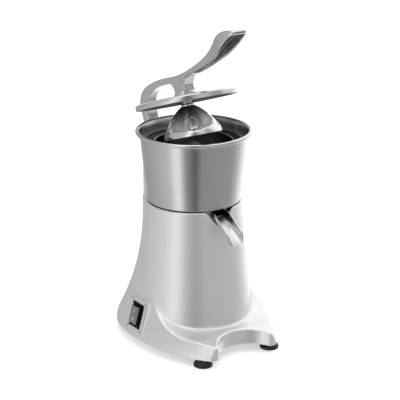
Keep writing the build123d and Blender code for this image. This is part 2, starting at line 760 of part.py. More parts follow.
def make_arm():
    """Cast lever: hinge eye, arched post, boss over the drive axis and long grip."""
    def lifted(points):
        return [(y, boss_bottom_z + height) for y, height in points]

    rear, front = hinge_y + post_rear, hinge_y - post_front
    foot = (rear - post_foot_taper, hinge_z)
    back = (rear, hinge_z + post_rear_height)
    inside = (front, hinge_z + post_front_height)
    top, grip, arch = lifted(arm_top_line), lifted(arm_grip_line), lifted(arm_arch_line)
    boss = [(-boss_half_length, boss_skirt_height), (-boss_half_length, 0), (boss_half_length, 0),
            (boss_half_length + grip_lip, boss_skirt_height)]
    edges = Line(foot, back) + Spline(back, *top)
    edges += Line(top[-1], grip[0])
    edges += Spline(*grip)
    edges += Polyline(grip[-1], *lifted(boss), arch[0])
    edges += Spline(*arch, inside)
    edges += Polyline(inside, (front - post_front_spread, hinge_z), foot)
    side = make_face(edges)
    plan_edge = Spline((arm_half_width, grip_start_y), (grip_half_width, grip_widest_y),
                       (grip_tip_half_width, grip_tip_y + grip_tip_run), tangents=((0, -1), (-0.25, -1)))

    def plan(inset, tip_y, start_y):
        right = [(arm_half_width - inset, start_y)]
        for step in range(grip_samples + 1):
            point = plan_edge @ (step / grip_samples)
            right.append((point.X - inset, point.Y))
        right.append((grip_tip_half_width - grip_tip_round - inset, tip_y))
        left = [(-x, y) for x, y in reversed(right)]
        return make_face(Polyline(*right, *left, close=True))

    blank = side_slab(side, grip_half_width + cut_past)
    lowest = hinge_z - eye_radius
    arm = blank & Pos(0, 0, lowest) * extrude(plan(0, grip_tip_y - cut_past, rear + cut_past), cutter_reach)
    hollow = extrude(plan(grip_lip, grip_tip_y + grip_skin, grip_hollow_start_y), cutter_reach)
    arm -= (Pos(0, 0, lowest) * hollow) & (Pos(0, 0, -grip_skin) * blank)
    arm += bar_x(eye_radius, -arm_half_width, arm_half_width, hinge_y, hinge_z)
    arm -= bar_x(bush_radius, -cutter_reach, cutter_reach, hinge_y, hinge_z)
    sink = arm_half_width - bush_flange_thickness
    arm -= bar_x(bush_flange_radius, -arm_half_width, -sink, hinge_y, hinge_z)
    arm -= bar_x(bush_flange_radius, sink, arm_half_width, hinge_y, hinge_z)
    return arm - bar_z(stem_thread_radius, boss_bottom_z - cut_past, boss_bottom_z + stem_thread_length)


def make_bushes():
    """Pair of flanged bushes let into the eye of the lever."""
    bore = bar_x(hinge_pin_radius + running_gap, -cutter_reach, cutter_reach, hinge_y, hinge_z)
    bushes = []
    for sign in (-1, 1):
        face_x = sign * arm_half_width
        inner_x = sign * seat_gap
        bush = bar_x(bush_radius, min(face_x, inner_x), max(face_x, inner_x), hinge_y, hinge_z)
        flange_x = face_x - sign * bush_flange_thickness
        bush += bar_x(bush_flange_radius, min(face_x, flange_x), max(face_x, flange_x), hinge_y, hinge_z)
        bushes.append(bush - bore)
    return Compound(bushes)


def make_lid():
    """Shallow turned splash lid with a rolled-down rim."""
    low, top = lid_bottom_z, lid_bottom_z + lid_height
    hole = stem_neck_radius
    inner = lid_radius - sheet
    edge = lid_edge_radius
    return turned([(hole, top + lid_crown - sheet), (hole, top + lid_crown), (lid_collar_radius, top + lid_crown),
                   (lid_radius - edge, top), (lid_radius, top - edge), (lid_radius, low), (inner, low),
                   (inner, top - edge - sheet), (lid_collar_radius, top + lid_crown - sheet)])


def make_dome():
    """Bell-shaped pressing cup in polished sheet."""
    top = dome_rim_z + dome_height

    def bell(radius, crown, low, high):
        sides = [(radius * out, low + up * (high - low)) for out, up in dome_sides]
        side = Spline((radius, low), *sides, (crown, high), tangents=((-dome_rim_lean, 1), (-1, dome_crown_slope)))
        edges = side + Polyline((crown, high), (0, high), (0, low), (radius, low))
        return revolve(Plane.XZ * make_face(edges), Axis.Z)

    cup = bell(dome_rim_radius, dome_crown_radius, dome_rim_z, top)
    inner_rim, inner_crown = dome_rim_radius - dome_sheet, dome_crown_radius - dome_sheet
    return cup - bell(inner_rim, inner_crown, dome_rim_z - cut_past, top - dome_sheet)


def make_stem():
    """Turned post that carries dome and lid, screwed up into the arm."""
    stem = bar_z(stem_radius, dome_rim_z + dome_height, lid_top - sheet)
    stem += bar_z(stem_neck_radius, lid_top - sheet, boss_bottom_z)
    thread_top = boss_bottom_z + stem_thread_length - stem_thread_spare
    return stem + bar_z(stem_thread_radius, boss_bottom_z, thread_top)


def make_switch_body():
    """Closed box of the switch behind the panel, with a well for the rocker."""
    inside_width = switch_opening_width - 2 * seat_gap
    inside_height = switch_opening_height - 2 * seat_gap
    front = bezel_recess + bezel_depth
    body = switch_block(inside_width, inside_height, front, front + switch_body_depth)
    well = rocker_pivot_depth + rocker_keel + rocker_room
    body -= switch_block(rocker_width + rocker_room, rocker_length + 2 * rocker_room, front - cut_past,
                         front + well)
    return body - rocker_pivot(rocker_pin_radius, rocker_pin_length)


def make_bezel():
    """Black frame round the rocker, let into the pad."""
    width, height = switch_opening_width - 2 * seat_gap, switch_opening_height - 2 * seat_gap
    front, back = bezel_recess, bezel_recess + bezel_depth
    hole = switch_block(width - 2 * bezel_rim, height - 2 * bezel_rim, front - cut_past, back + cut_past)
    return switch_block(width, height, front, back) - hole


def rocker_pivot(radius, length):
    """Pivot bar of the rocker, level and across the switch."""
    depth = bezel_recess + bezel_depth + rocker_pivot_depth
    bar = Rot(0, 90, 0) * Cylinder(radius, length)
    return switch_plane * (Pos(0, 0, -depth) * bar)


def make_rocker():
    """Rocker key resting with its lower end pressed."""
    top = rocker_height + rocker_pivot_depth + bezel_depth
    half = rocker_length / 2
    face = make_face(Polyline((-half, top), (0, top - rocker_dish), (half, top), (half - rocker_taper, 0),
                              (rocker_keel_half, -rocker_keel), (-rocker_keel_half, -rocker_keel),
                              (rocker_taper - half, 0), close=True))
    key = extrude(Plane.YZ * face, rocker_width / 2, both=True)
    key -= Rot(0, 90, 0) * Cylinder(rocker_pin_radius + running_gap, rocker_width + 2 * cut_past)
    depth = bezel_recess + bezel_depth + rocker_pivot_depth
    return switch_plane * (Pos(0, 0, -depth) * (Rot(rocker_tilt, 0, 0) * key))


def make_boot():
    """Clear splash boot over the rocker, held by the frame."""
    width = switch_opening_width - 2 * seat_gap - 2 * bezel_rim - 2 * seat_gap
    height = switch_opening_height - 2 * seat_gap - 2 * bezel_rim - 2 * seat_gap
    seat = bezel_recess + bezel_depth

    def tapered(inset, low, high):
        lower = Pos(0, 0, low) * Rectangle(width - 2 * inset, height - 2 * inset)
        upper = Pos(0, 0, high) * Rectangle(width - 2 * inset - boot_draft, height - 2 * inset - boot_draft)
        return loft([lower, upper])

    cap = tapered(0, -seat, boot_height) - tapered(boot_wall, -seat - cut_past, boot_height - boot_wall)
    return switch_plane * cap


def make_gland():
    """Cable gland through the back of the column, with its lock nut inside."""
    face_y = column_rear_y
    gland = bar_y(gland_radius, face_y - gland_length, face_y, 0, gland_z)
    gland += bar_y(gland_flange_radius, face_y, face_y + gland_flange_thickness, 0, gland_z)
    return gland - bar_y(gland_bore_radius, -cutter_reach, cutter_reach, 0, gland_z)


def make_gland_nut():
    """Ring nut that clamps the gland from inside the column."""
    outer_y = column_rear_y - housing_wall
    nut = bar_y(gland_nut_radius, outer_y - gland_nut_thickness, outer_y, 0, gland_z)
    return nut - bar_y(gland_radius, -cutter_reach, cutter_reach, 0, gland_z)


def make_capacitor_strap():
    """Band round the foot of the capacitor, on the base plate."""
    outer, top = capacitor_radius + capacitor_strap, plate_top + capacitor_strap_height
    return ring(outer, capacitor_radius, plate_top, top, capacitor_x, capacitor_y)


upper_bearing_low = motor_top - motor_end_plate - bearing_width
lower_bearing_low = motor_bottom + motor_end_plate
seal_low = bowl_seat_under + seal_lift
clip_start = column_half_width + seat_gap
pin_half = column_half_width + hinge_pin_overhang

parts = {
    "housing": make_housing(),
    "base_plate": make_base_plate(),
    "base_plate_screws": Compound([
        screw(plate_screw_radius, plate_screw_head_radius, plate_screw_head_height,
              plate_top + plate_screw_length - plate_screw_spare, foot_height, x, y)
        for x, y in plate_screw_places]),
    "foot_screws": Compound([
        screw(foot_screw_radius, foot_screw_head_radius, foot_screw_head_height,
              plate_top + foot_screw_end, foot_screw_seat_z, x, y) for x, y in foot_places.values()]),
    "foot_nuts": Compound([
        ring(foot_screw_head_radius, foot_screw_radius, plate_top, plate_top + foot_nut_height, x, y)
        for x, y in foot_places.values()]),
    "bowl": make_bowl(),
    "spout_chute": make_chute(),
    "strainer": make_strainer(),
    "shaft_seal": ring(seal_radius, shaft_radius + running_gap, seal_low, seal_low + seal_height),
    "motor_upper_bracket": make_bracket(upper_rim_bottom, motor_top, True),
    "motor_lower_bracket": make_bracket(motor_bottom, stator_bottom, False),
    "motor_stator": make_stator(),
    "stator_windings": Compound([
        ring(winding_outer_radius, winding_inner_radius, upper_rim_bottom, upper_rim_bottom + winding_height),
        ring(winding_outer_radius, winding_inner_radius, stator_bottom - winding_height, stator_bottom)]),
    "upper_bearing": make_bearing(upper_bearing_low),
    "lower_bearing": make_bearing(lower_bearing_low),
    "motor_bolts": Compound([
        screw(motor_bolt_radius, motor_bolt_head_radius, motor_bolt_head_height, motor_bolt_tip,
              motor_bottom, x, y) for x, y in motor_bolt_places]),
    "motor_mount_screws": Compound([
        screw(mount_screw_radius, mount_screw_head_radius, mount_screw_head_height, motor_top - motor_end_plate,
              bowl_seat_z - mount_screw_head_height - seat_gap, x, y) for x, y in mount_screw_places]),
    "run_capacitor": bar_z(capacitor_radius, plate_top, plate_top + capacitor_length, capacitor_x, capacitor_y),
    "capacitor_strap": make_capacitor_strap(),
    "hinge_pin": bar_x(hinge_pin_radius, -pin_half, pin_half, hinge_y, hinge_z),
    "hinge_clips": Compound([
        bar_x(hinge_clip_radius, x, x + hinge_clip_thickness, hinge_y, hinge_z)
        - bar_x(hinge_pin_radius, -cutter_reach, cutter_reach, hinge_y, hinge_z)
        for x in (-clip_start - hinge_clip_thickness, clip_start)]),
    "switch_bezel": make_bezel(),
    "switch_body": make_switch_body(),
    "switch_boot": make_boot(),
    "rocker_pin": rocker_pivot(rocker_pin_radius, rocker_pin_length),
    "switch_rocker": make_rocker(),
    "cable_gland": make_gland(),
    "gland_nut": make_gland_nut(),
    "drive_shaft": make_shaft(),
    "rotor_core": ring(stator_bore_radius - air_gap, shaft_radius, stator_bottom - rotor_overhang,
                       upper_rim_bottom + rotor_overhang),
    "cooling_fan": make_fan(),
    "reamer": make_reamer(),
    "drive_pin": bar_x(drive_pin_radius, -drive_pin_length / 2, drive_pin_length / 2, 0, drive_pin_z),
    "lever_arm": raised(make_arm()),
    "hinge_bushes": raised(make_bushes()),
    "splash_lid": raised(make_lid()),
    "lid_collar": raised(ring(lid_collar_radius, stem_neck_radius, lid_top, boss_bottom_z)),
    "dome_stem": raised(make_stem()),
    "dome": raised(make_dome()),
}
for name, (foot_x, foot_y) in foot_places.items():
    parts[name] = make_foot(foot_x, foot_y)

os.makedirs("parts", exist_ok=True)
for name, shape in parts.items():
    export_step(shape, f"parts/{name}.step")
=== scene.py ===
import json
import math

import bmesh
import bpy
from mathutils import Matrix, Vector

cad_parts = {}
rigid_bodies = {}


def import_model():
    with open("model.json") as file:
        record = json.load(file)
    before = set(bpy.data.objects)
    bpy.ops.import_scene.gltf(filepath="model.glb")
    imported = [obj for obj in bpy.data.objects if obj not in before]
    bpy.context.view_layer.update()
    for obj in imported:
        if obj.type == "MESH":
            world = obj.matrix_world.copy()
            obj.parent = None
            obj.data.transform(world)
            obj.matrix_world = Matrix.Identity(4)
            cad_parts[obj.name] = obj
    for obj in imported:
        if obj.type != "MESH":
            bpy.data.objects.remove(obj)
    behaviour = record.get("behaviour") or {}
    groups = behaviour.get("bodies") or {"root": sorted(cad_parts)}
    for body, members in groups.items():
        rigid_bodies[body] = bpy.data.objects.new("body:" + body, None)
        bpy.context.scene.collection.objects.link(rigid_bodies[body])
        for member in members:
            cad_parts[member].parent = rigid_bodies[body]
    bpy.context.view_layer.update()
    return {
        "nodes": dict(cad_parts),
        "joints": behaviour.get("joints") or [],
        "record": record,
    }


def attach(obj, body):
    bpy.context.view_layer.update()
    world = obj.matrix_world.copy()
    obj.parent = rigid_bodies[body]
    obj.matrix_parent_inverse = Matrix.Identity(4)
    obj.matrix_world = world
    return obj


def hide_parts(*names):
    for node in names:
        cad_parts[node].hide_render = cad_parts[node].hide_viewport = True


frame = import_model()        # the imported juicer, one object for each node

nodes = frame["nodes"]
mm = 0.001
print("frame loaded,", len(nodes), "nodes")

# camera at the photograph's viewing angle
cameraView = {"place": (-1.19095, -1.82550, 0.95110), "forward": (0.52090, 0.79119, -0.32045), "lens": 136.94}
bpy.ops.object.camera_add(location=cameraView["place"])
camera = bpy.context.object
camera.rotation_euler = Vector(cameraView["forward"]).to_track_quat("-Z", "Y").to_euler()
camera.data.lens = cameraView["lens"]
camera.data.sensor_width = 36.0
bpy.context.scene.camera = camera
bpy.context.scene.view_settings.view_transform = "Standard"


class Wire:
    # one shader value: sums on it add Math nodes, and add() makes any other node
    def __init__(self, tree, socket):
        self.tree, self.socket = tree, socket

    def feed(self, socket, value):
        if isinstance(value, Wire):
            self.tree.links.new(value.socket, socket)
        else:
            socket.default_value = value

    def add(self, kind, settings, values, out=0):
        node = self.tree.nodes.new("ShaderNode" + kind)
        for name, value in settings.items():
            if name == "stops":
                ramp = node.color_ramp.elements
                while len(ramp) < len(value):
                    ramp.new(1.0)
                for stop, (place, colour) in zip(ramp, value):
                    stop.position, stop.color = place, (*colour, 1.0)
            else:
                setattr(node, name, value)
        for name, value in values.items():
            self.feed(node.inputs[name], value)
        return Wire(self.tree, node.outputs[out])

    def calc(self, operation, first, second):
        return self.add("Math", {"operation": operation}, {0: first, 1: second})

    def __add__(self, other):
        return self.calc("ADD", self, other)

    def __radd__(self, other):
        return self.calc("ADD", other, self)

    def __sub__(self, other):
        return self.calc("SUBTRACT", self, other)

    def __rsub__(self, other):
        return self.calc("SUBTRACT", other, self)

    def __mul__(self, other):
        return self.calc("MULTIPLY", self, other)

    def __rmul__(self, other):
        return self.calc("MULTIPLY", other, self)

    def __pow__(self, other):
        return self.calc("POWER", self, other)

    def blend(self, low, high):
        # colour that runs from low to high with this value
        return self.add("Mix", {"data_type": "RGBA"}, {0: self, 6: (*low, 1.0), 7: (*high, 1.0)}, 2)

    def under(self, limit):
        return self.calc("LESS_THAN", self, limit)

    def moved(self, place, turn):
        # the same point seen from a frame set at a place and turned
        values = {"Vector": self, "Location": place, "Rotation": turn}
        return self.add("Mapping", {"vector_type": "TEXTURE"}, values)

    def scaled(self, factor):
        return self.add("VectorMath", {"operation": "SCALE"}, {0: self, "Scale": factor})

    def turnFrom(self, other):
        # share of a full turn, half a turn at the direction of other
        return self.calc("ARCTAN2", self, other) * (1 / (2 * math.pi)) + 0.5

    def ring(self, levels):
        # grey level by degrees, for a share of a full turn
        stops = [((degrees + 180) / 360, (level,) * 3) for degrees, level in levels]
        return self.add("ValToRGB", {"stops": stops}, {0: self})

    def parts(self):
        node = self.add("SeparateXYZ", {}, {0: self}).socket.node
        return [Wire(self.tree, node.outputs[index]) for index in range(3)]

    def noise(self, scale, detail=2.0, stretch=(1, 1, 1)):
        spread = self.add("Mapping", {}, {"Vector": self, "Scale": stretch})
        return self.add("TexNoise", {}, {"Vector": spread, "Scale": scale, "Detail": detail})


def openMaterial(name):
    material = bpy.data.materials.new(name)
    material.use_nodes = True
    tree = material.node_tree
    shader = tree.nodes["Principled BSDF"]
    start = Wire(tree, shader.outputs[0]).add("TexCoord", {}, {}, "Object")
    return material, shader, start


def setSockets(shader, start, **values):
    names = {"colour": "Base Color", "rough": "Roughness", "metal": "Metallic", "coat": "Coat Weight",
             "coatRough": "Coat Roughness", "aniso": "Anisotropic", "turn": "Anisotropic Rotation",
             "spec": "Specular IOR Level", "glow": "Emission Strength", "normal": "Normal"}
    for name, value in values.items():
        start.feed(shader.inputs[names[name]], value)


def bump(height, strength, distance):
    return height.add("Bump", {}, {"Height": height, "Strength": strength, "Distance": distance}, "Normal")


# places that finishes and pieces share: the lever's hinge and the switch panel on the left flank
leverHinge = next(joint for joint in frame["joints"] if joint["name"] == "lever_hinge")
leverTurn = math.radians(leverHinge["range_deg"][0])
hingePlace = Vector(leverHinge["pos_m"])
panelPlace = Vector((-0.10005, 0.0065, 0.0466))
panelLean = math.radians(15)
panelOut = Vector((-math.cos(panelLean), 0, math.sin(panelLean)))
panelUp = Vector((math.sin(panelLean), 0, math.cos(panelLean)))
panelTurn = Matrix((Vector((0, -1, 0)), panelUp, panelOut)).transposed()


# finishes, one for each material slot of the record
def silverLacquer():
    look = {"dark": (0.76, 0.765, 0.77), "light": (0.86, 0.865, 0.87), "rough": 0.30, "cloudRough": 0.06,
            "metal": 0.70, "coat": 0.35, "coatRough": 0.12, "flakeShare": 0.75, "peel": 0.02}
    material, shader, place = openMaterial("silverLacquer")
    flake = place.noise(2600, 1.0)
    cloud = place.noise(14, 3.0)
    mix = look["flakeShare"] * flake + (1 - look["flakeShare"]) * cloud
    setSockets(shader, place, colour=mix.blend(look["dark"], look["light"]),
               rough=look["rough"] + look["cloudRough"] * cloud, metal=look["metal"], coat=look["coat"],
               coatRough=look["coatRough"], normal=bump(place.noise(420, 2.0), look["peel"], 0.0006))
    return material


def bowlSteel():
    # fine lines round the drive axis, with painted shade darkening the colour inside the bowl
    look = {"dark": (0.60, 0.605, 0.61), "light": (0.70, 0.705, 0.71), "rough": 0.18, "lines": 0.05,
            "smudge": 0.04, "inside": 0.55, "footRadius": 0.0705, "footHeight": 0.219, "spread": 0.104,
            "rim": 0.0806, "aniso": 0.6, "turn": 0.25, "lineDepth": 0.02}
    material, shader, place = openMaterial("bowlSteel")
    x, y, z = place.parts()
    radius = (x**2 + y**2)**0.5
    cone = radius - look["spread"] * (z - look["footHeight"])
    inside = cone.under(look["footRadius"]) * radius.under(look["rim"])
    lines = place.noise(1.0, 3.0, (4, 4, 1900))
    smudge = place.noise(22, 3.0)
    tone = (0.5 * lines + 0.5 * smudge).blend(look["dark"], look["light"])
    # painted shade: the colour is darker inside the bowl
    shade = 1 - (1 - look["inside"]) * inside
    setSockets(shader, place, colour=tone.scaled(shade), metal=1.0, aniso=look["aniso"], turn=look["turn"],
               rough=look["rough"] + look["lines"] * (lines - 0.5) + look["smudge"] * smudge,
               normal=bump(lines, look["lineDepth"], 0.0003))
    return material


def lidSteel():
    # spun outside and a duller underside whose colour carries painted reflection streaks by angle, like those
    # of a turned disc, and painted shade, darkest at the hub
    look = {"dark": (0.60, 0.605, 0.61), "light": (0.74, 0.745, 0.75), "rough": 0.14, "lines": 0.05,
            "under": 0.32, "underMetal": 0.35, "skin": 0.04485, "crown": 0.0268, "hub": 0.017, "edge": 0.0767,
            "hubShade": 0.01, "edgeShade": 2.0, "reflectionGain": 1.9, "brightest": 1.4, "lineDepth": 0.02,
            "reflectionStreaks": [(-180, 0.45), (-152, 0.42), (-148, 0.9), (-143, 1.0), (-134, 1.0), (-129, 0.35),
                        (-112, 0.25), (-104, 0.4), (-88, 0.42), (-78, 0.25), (-68, 0.6), (-40, 0.6),
                        (-20, 0.3), (0, 0.1), (120, 0.1), (150, 0.3), (180, 0.45)]}
    material, shader, start = openMaterial("lidSteel")
    place = start.moved(tuple(hingePlace), (leverTurn, 0, 0))
    x, y, z = place.parts()
    y = y + hingePlace.y
    radius = (x**2 + y**2)**0.5
    height = z + look["crown"] * (radius - look["hub"])
    inside = height.under(look["skin"]) * radius.under(look["edge"])
    lines = place.noise(1.0, 3.0, (5, 5, 1500)) * (1 - inside)
    tone = (0.6 * lines + 0.4 * place.noise(22, 3.0)).blend(look["dark"], look["light"])
    # painted reflection: the underside's colour turns lighter and darker in streaks by angle round the hub
    paintedReflection = y.turnFrom(x).ring(look["reflectionStreaks"])
    # painted shade: the underside's colour darkens towards the hub
    depth = look["hubShade"] + look["edgeShade"] * (radius * (1 / look["edge"]))**2
    lit = start.calc("MINIMUM", depth * paintedReflection * look["reflectionGain"], look["brightest"])
    setSockets(shader, start, colour=tone.scaled(1 - inside * (1 - lit)),
               metal=1 - (1 - look["underMetal"]) * inside,
               rough=look["rough"] + (look["under"] - look["rough"]) * inside + look["lines"] * lines,
               normal=bump(lines, look["lineDepth"], 0.0003))
    return material


def domeChrome():
    look = {"dark": (0.70, 0.70, 0.71), "light": (0.80, 0.80, 0.81), "rough": 0.15, "haze": 0.05,
            "wave": 0.01}
    material, shader, place = openMaterial("domeChrome")
    haze = place.noise(35, 4.0)
    setSockets(shader, place, colour=haze.blend(look["dark"], look["light"]), metal=1.0,
               rough=look["rough"] + look["haze"] * haze,
               normal=bump(place.noise(60, 1.0), look["wave"], 0.0005))
    return material


def leverAlloy():
    # satin casting, rougher in the hollow of the grip, where its colour is darkened as painted shade
    look = {"dark": (0.60, 0.603, 0.607), "light": (0.72, 0.723, 0.727), "hollow": 0.30, "rough": 0.15,
            "grainRough": 0.05, "cloudRough": 0.03, "hollowRough": 0.25, "metal": 0.95, "grainDepth": 0.04}
    material, shader, place = openMaterial("leverAlloy")
    grain = place.noise(900, 3.0)
    cloud = place.noise(30, 3.0)
    hollow = place.add("Attribute", {"attribute_name": "hollow"}, {}, "Fac")
    tone = (0.5 * grain + 0.5 * cloud).blend(look["dark"], look["light"])
    rough = look["rough"] + look["grainRough"] * grain + look["cloudRough"] * cloud
    # painted shade: the colour is darkened in the grip's hollow, which is also rougher
    setSockets(shader, place, colour=tone.scaled(1 - (1 - look["hollow"]) * hollow), metal=look["metal"],
               rough=rough + look["hollowRough"] * hollow, normal=bump(grain, look["grainDepth"], 0.0004))
    return material


def mouldedPlastic(name, dark, light, rough, grainScale, grainDepth, **more):
    material, shader, place = openMaterial(name)
    grain = place.noise(grainScale, 2.0)
    cloud = place.noise(40, 2.0)
    setSockets(shader, place, colour=(0.4 * grain + 0.6 * cloud).blend(dark, light),
               rough=rough - 0.05 + 0.1 * cloud, normal=bump(grain, grainDepth, 0.0004), **more)
    return material


def bootRubber():
    # black sides and a grey window over the rocker
    look = {"black": (0.002, 0.002, 0.002), "window": (0.20, 0.203, 0.206), "level": 0.0047, "rough": 0.32,
            "cloudRough": 0.08, "spec": 0.25, "cloudDepth": 0.04}
    material, shader, start = openMaterial("bootRubber")
    place = start.moved(tuple(panelPlace), tuple(panelTurn.to_euler()))
    sides = place.parts()[2].under(look["level"])
    cloud = place.noise(500, 2.0)
    window = (1 - sides) * (0.8 + 0.2 * cloud)
    setSockets(shader, start, colour=window.blend(look["black"], look["window"]), spec=look["spec"],
               rough=look["rough"] + look["cloudRough"] * cloud,
               normal=bump(cloud, look["cloudDepth"], 0.0004))
    return material


def plainMetal(name, dark, light, rough, metal, scale):
    material, shader, place = openMaterial(name)
    grain = place.noise(scale, 3.0)
    cloud = place.noise(35, 3.0)
    setSockets(shader, place, colour=(0.5 * grain + 0.5 * cloud).blend(dark, light), metal=metal,
               rough=rough - 0.06 + 0.12 * cloud, normal=bump(grain, 0.06, 0.0004))
    return material


finishes = {"silver_lacquer": silverLacquer(), "bowl_steel": bowlSteel(), "lid_steel": lidSteel(),
            "dome_chrome": domeChrome(), "lever_alloy": leverAlloy(), "boot_clear": bootRubber()}
# slot, name, dark, light, roughness, grain scale and grain depth
for slot, *look in [
        ("foot_rubber", "footRubber", (0.006, 0.006, 0.006), (0.014, 0.014, 0.014), 0.42, 900, 0.10),
        ("switch_grey", "switchGrey", (0.46, 0.465, 0.47), (0.56, 0.565, 0.57), 0.40, 1200, 0.05),
        ("reamer_plastic", "reamerPlastic", (0.60, 0.60, 0.58), (0.68, 0.68, 0.66), 0.38, 900, 0.05),
        ("seal_rubber", "sealRubber", (0.015, 0.015, 0.015), (0.03, 0.03, 0.03), 0.55, 800, 0.10),
        ("fan_plastic", "fanPlastic", (0.02, 0.02, 0.02), (0.04, 0.04, 0.04), 0.48, 800, 0.08),
        ("capacitor_case", "capacitorCase", (0.66, 0.66, 0.64), (0.76, 0.76, 0.74), 0.42, 700, 0.05),
        ("gland_plastic", "glandPlastic", (0.012, 0.012, 0.012), (0.024, 0.024, 0.024), 0.40, 900, 0.08)]:
    finishes[slot] = mouldedPlastic(*look)
finishes["switch_black"] = mouldedPlastic("switchBlack", (0.002, 0.002, 0.002), (0.005, 0.005, 0.005), 0.34,
                                          1200, 0.06, spec=0.25)
# slot, name, dark, light, roughness, metal share and grain scale
for slot, *look in [
        ("plated_steel", "platedSteel", (0.50, 0.51, 0.52), (0.64, 0.65, 0.66), 0.30, 1.0, 300),
        ("base_steel", "baseSteel", (0.26, 0.265, 0.27), (0.33, 0.335, 0.34), 0.45, 0.5, 300),
        ("bracket_alloy", "bracketAlloy", (0.45, 0.455, 0.46), (0.58, 0.585, 0.59), 0.48, 0.9, 500),
        ("lamination", "lamination", (0.16, 0.16, 0.165), (0.26, 0.26, 0.265), 0.50, 0.7, 120),
        ("winding_copper", "windingCopper", (0.55, 0.25, 0.12), (0.72, 0.36, 0.18), 0.35, 0.9, 800),
        ("bearing_steel", "bearingSteel", (0.55, 0.56, 0.57), (0.68, 0.69, 0.70), 0.18, 1.0, 300),
        ("bush_bronze", "bushBronze", (0.42, 0.29, 0.13), (0.55, 0.40, 0.20), 0.34, 1.0, 300)]:
    finishes[slot] = plainMetal(*look)
for row in frame["record"]["subparts"]:
    node = nodes[row["node"]]
    node.data.materials.clear()
    node.data.materials.append(finishes[row["material_slot"]])
print("finishes made:", len(finishes))


# working by hand: selection, turning, finishing
def freshSelection():
    if bpy.context.mode != "OBJECT":
        bpy.ops.object.mode_set(mode="OBJECT")
    bpy.ops.object.select_all(action="DESELECT")


def startEdit(piece, how="VERT"):
    freshSelection()
    bpy.context.view_layer.objects.active = piece
    piece.select_set(True)
    bpy.ops.object.mode_set(mode="EDIT")
    bpy.ops.mesh.select_mode(type=how)
    bpy.ops.mesh.select_all(action="SELECT")


def endEdit():
    bpy.ops.object.mode_set(mode="OBJECT")


def applyModifier(piece, kind, **settings):
    freshSelection()
    bpy.context.view_layer.objects.active = piece
    piece.select_set(True)
    modifier = piece.modifiers.new(kind.lower(), kind)
    for name, value in settings.items():
        setattr(modifier, name, value)
    bpy.ops.object.modifier_apply(modifier=modifier.name)


def smoothShade(piece, angle):
    freshSelection()
    bpy.context.view_layer.objects.active = piece
    piece.select_set(True)
    bpy.ops.object.shade_smooth_by_angle(angle=math.radians(angle))


def roundCorners(points, radii, parts=5):
    # chain of (radius, height) with its corners turned into short arcs
    softened = []
    last = len(points) - 1
    for index, point in enumerate(points):
        radius = radii.get(index, 0.0)
        if not radius or index in (0, last):
            softened.append(point)
            continue
        here = Vector(point)
        before, after = Vector(points[index - 1]) - here, Vector(points[index + 1]) - here
        reach = radius / math.tan(max(before.angle(after) / 2, 0.05))
        reach = min(reach, 0.48 * before.length, 0.48 * after.length)
        start, end = here + before.normalized() * reach, here + after.normalized() * reach
        for step in range(parts + 1):
            share = step / parts
            curve = (1 - share)**2 * start + 2 * share * (1 - share) * here + share**2 * end
            softened.append(tuple(curve))
    return softened


def drawnChain(name, points):
    # an edge chain through points in mm, drawn one by one and left in edit mode
    freshSelection()
    bpy.ops.mesh.primitive_plane_add(size=0.002)
    piece = bpy.context.object
    piece.name = piece.data.name = name
    startEdit(piece)
    bpy.ops.mesh.merge(type="CENTER")
    bpy.ops.transform.translate(value=[value * mm for value in points[0]])
    for here, there in zip(points, points[1:]):
        step = [(second - first) * mm for first, second in zip(here, there)]
        bpy.ops.mesh.extrude_region_move(TRANSFORM_OT_translate={"value": step})
    bpy.ops.mesh.select_all(action="SELECT")
    return piece


def turnedPiece(name, outline, steps):
    # a chain of (radius, height) in mm, spun round the drive axis
    piece = drawnChain(name, [(radius, 0, height) for radius, height in outline])
    bpy.ops.mesh.spin(steps=steps, angle=2 * math.pi, center=(0, 0, 0), axis=(0, 0, 1))
    bpy.ops.mesh.select_all(action="SELECT")
    bpy.ops.mesh.remove_doubles(threshold=0.00001)
    bpy.ops.mesh.normals_make_consistent(inside=False)
    endEdit()
    return piece


def placePiece(piece, matrix):
    freshSelection()
    bpy.context.view_layer.objects.active = piece
    piece.select_set(True)
    piece.matrix_world = matrix
    bpy.ops.object.transform_apply(location=True, rotation=True, scale=True)


def raiseWithLever(piece):
    turn = Matrix.Rotation(leverTurn, 4, "X")
    placePiece(piece, Matrix.Translation(hingePlace) @ turn @ Matrix.Translation(-hingePlace))


def settle(piece, body, slot, *standsFor):
    piece.data.materials.clear()
    piece.data.materials.append(finishes[slot])
    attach(piece, body)
    if standsFor:
        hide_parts(*standsFor)
    print("piece", piece.name, len(piece.data.polygons), "faces")


def copyOfNode(node, name):
    piece = bpy.data.objects.new(name, nodes[node].data.copy())
    bpy.context.scene.collection.objects.link(piece)
    startEdit(piece)
    bpy.ops.mesh.remove_doubles(threshold=0.000002)
    endEdit()
    return piece


def selectFaces(piece, test):
    # in edit mode: faces whose middle and normal pass the test
    mesh = bmesh.from_edit_mesh(piece.data)
    for face in mesh.faces:
        face.select_set(test(face.calc_center_median(), face.normal))
    mesh.select_flush_mode()
    bmesh.update_edit_mesh(piece.data)


def cubeCutter(place, size, turn=0.0):
    freshSelection()
    bpy.ops.mesh.primitive_cube_add(size=1, location=[value * mm for value in place], rotation=(0, 0, turn))
    cutter = bpy.context.object
    cutter.scale = [value * mm for value in size]
    return cutter


def boolCut(piece, cutter):
    applyModifier(piece, "BOOLEAN", operation="DIFFERENCE", object=cutter, solver="EXACT")
    bpy.data.objects.remove(cutter)


def weighVertices(piece, name, weight, levels):
    # a vertex group with its weights rounded to so many levels
    group = piece.vertex_groups.new(name=name)
    places = {}
    for vert in piece.data.vertices:
        places.setdefault(round(levels * weight(vert.co)), []).append(vert.index)
    for level, indices in places.items():
        group.add(indices, level / levels, "REPLACE")


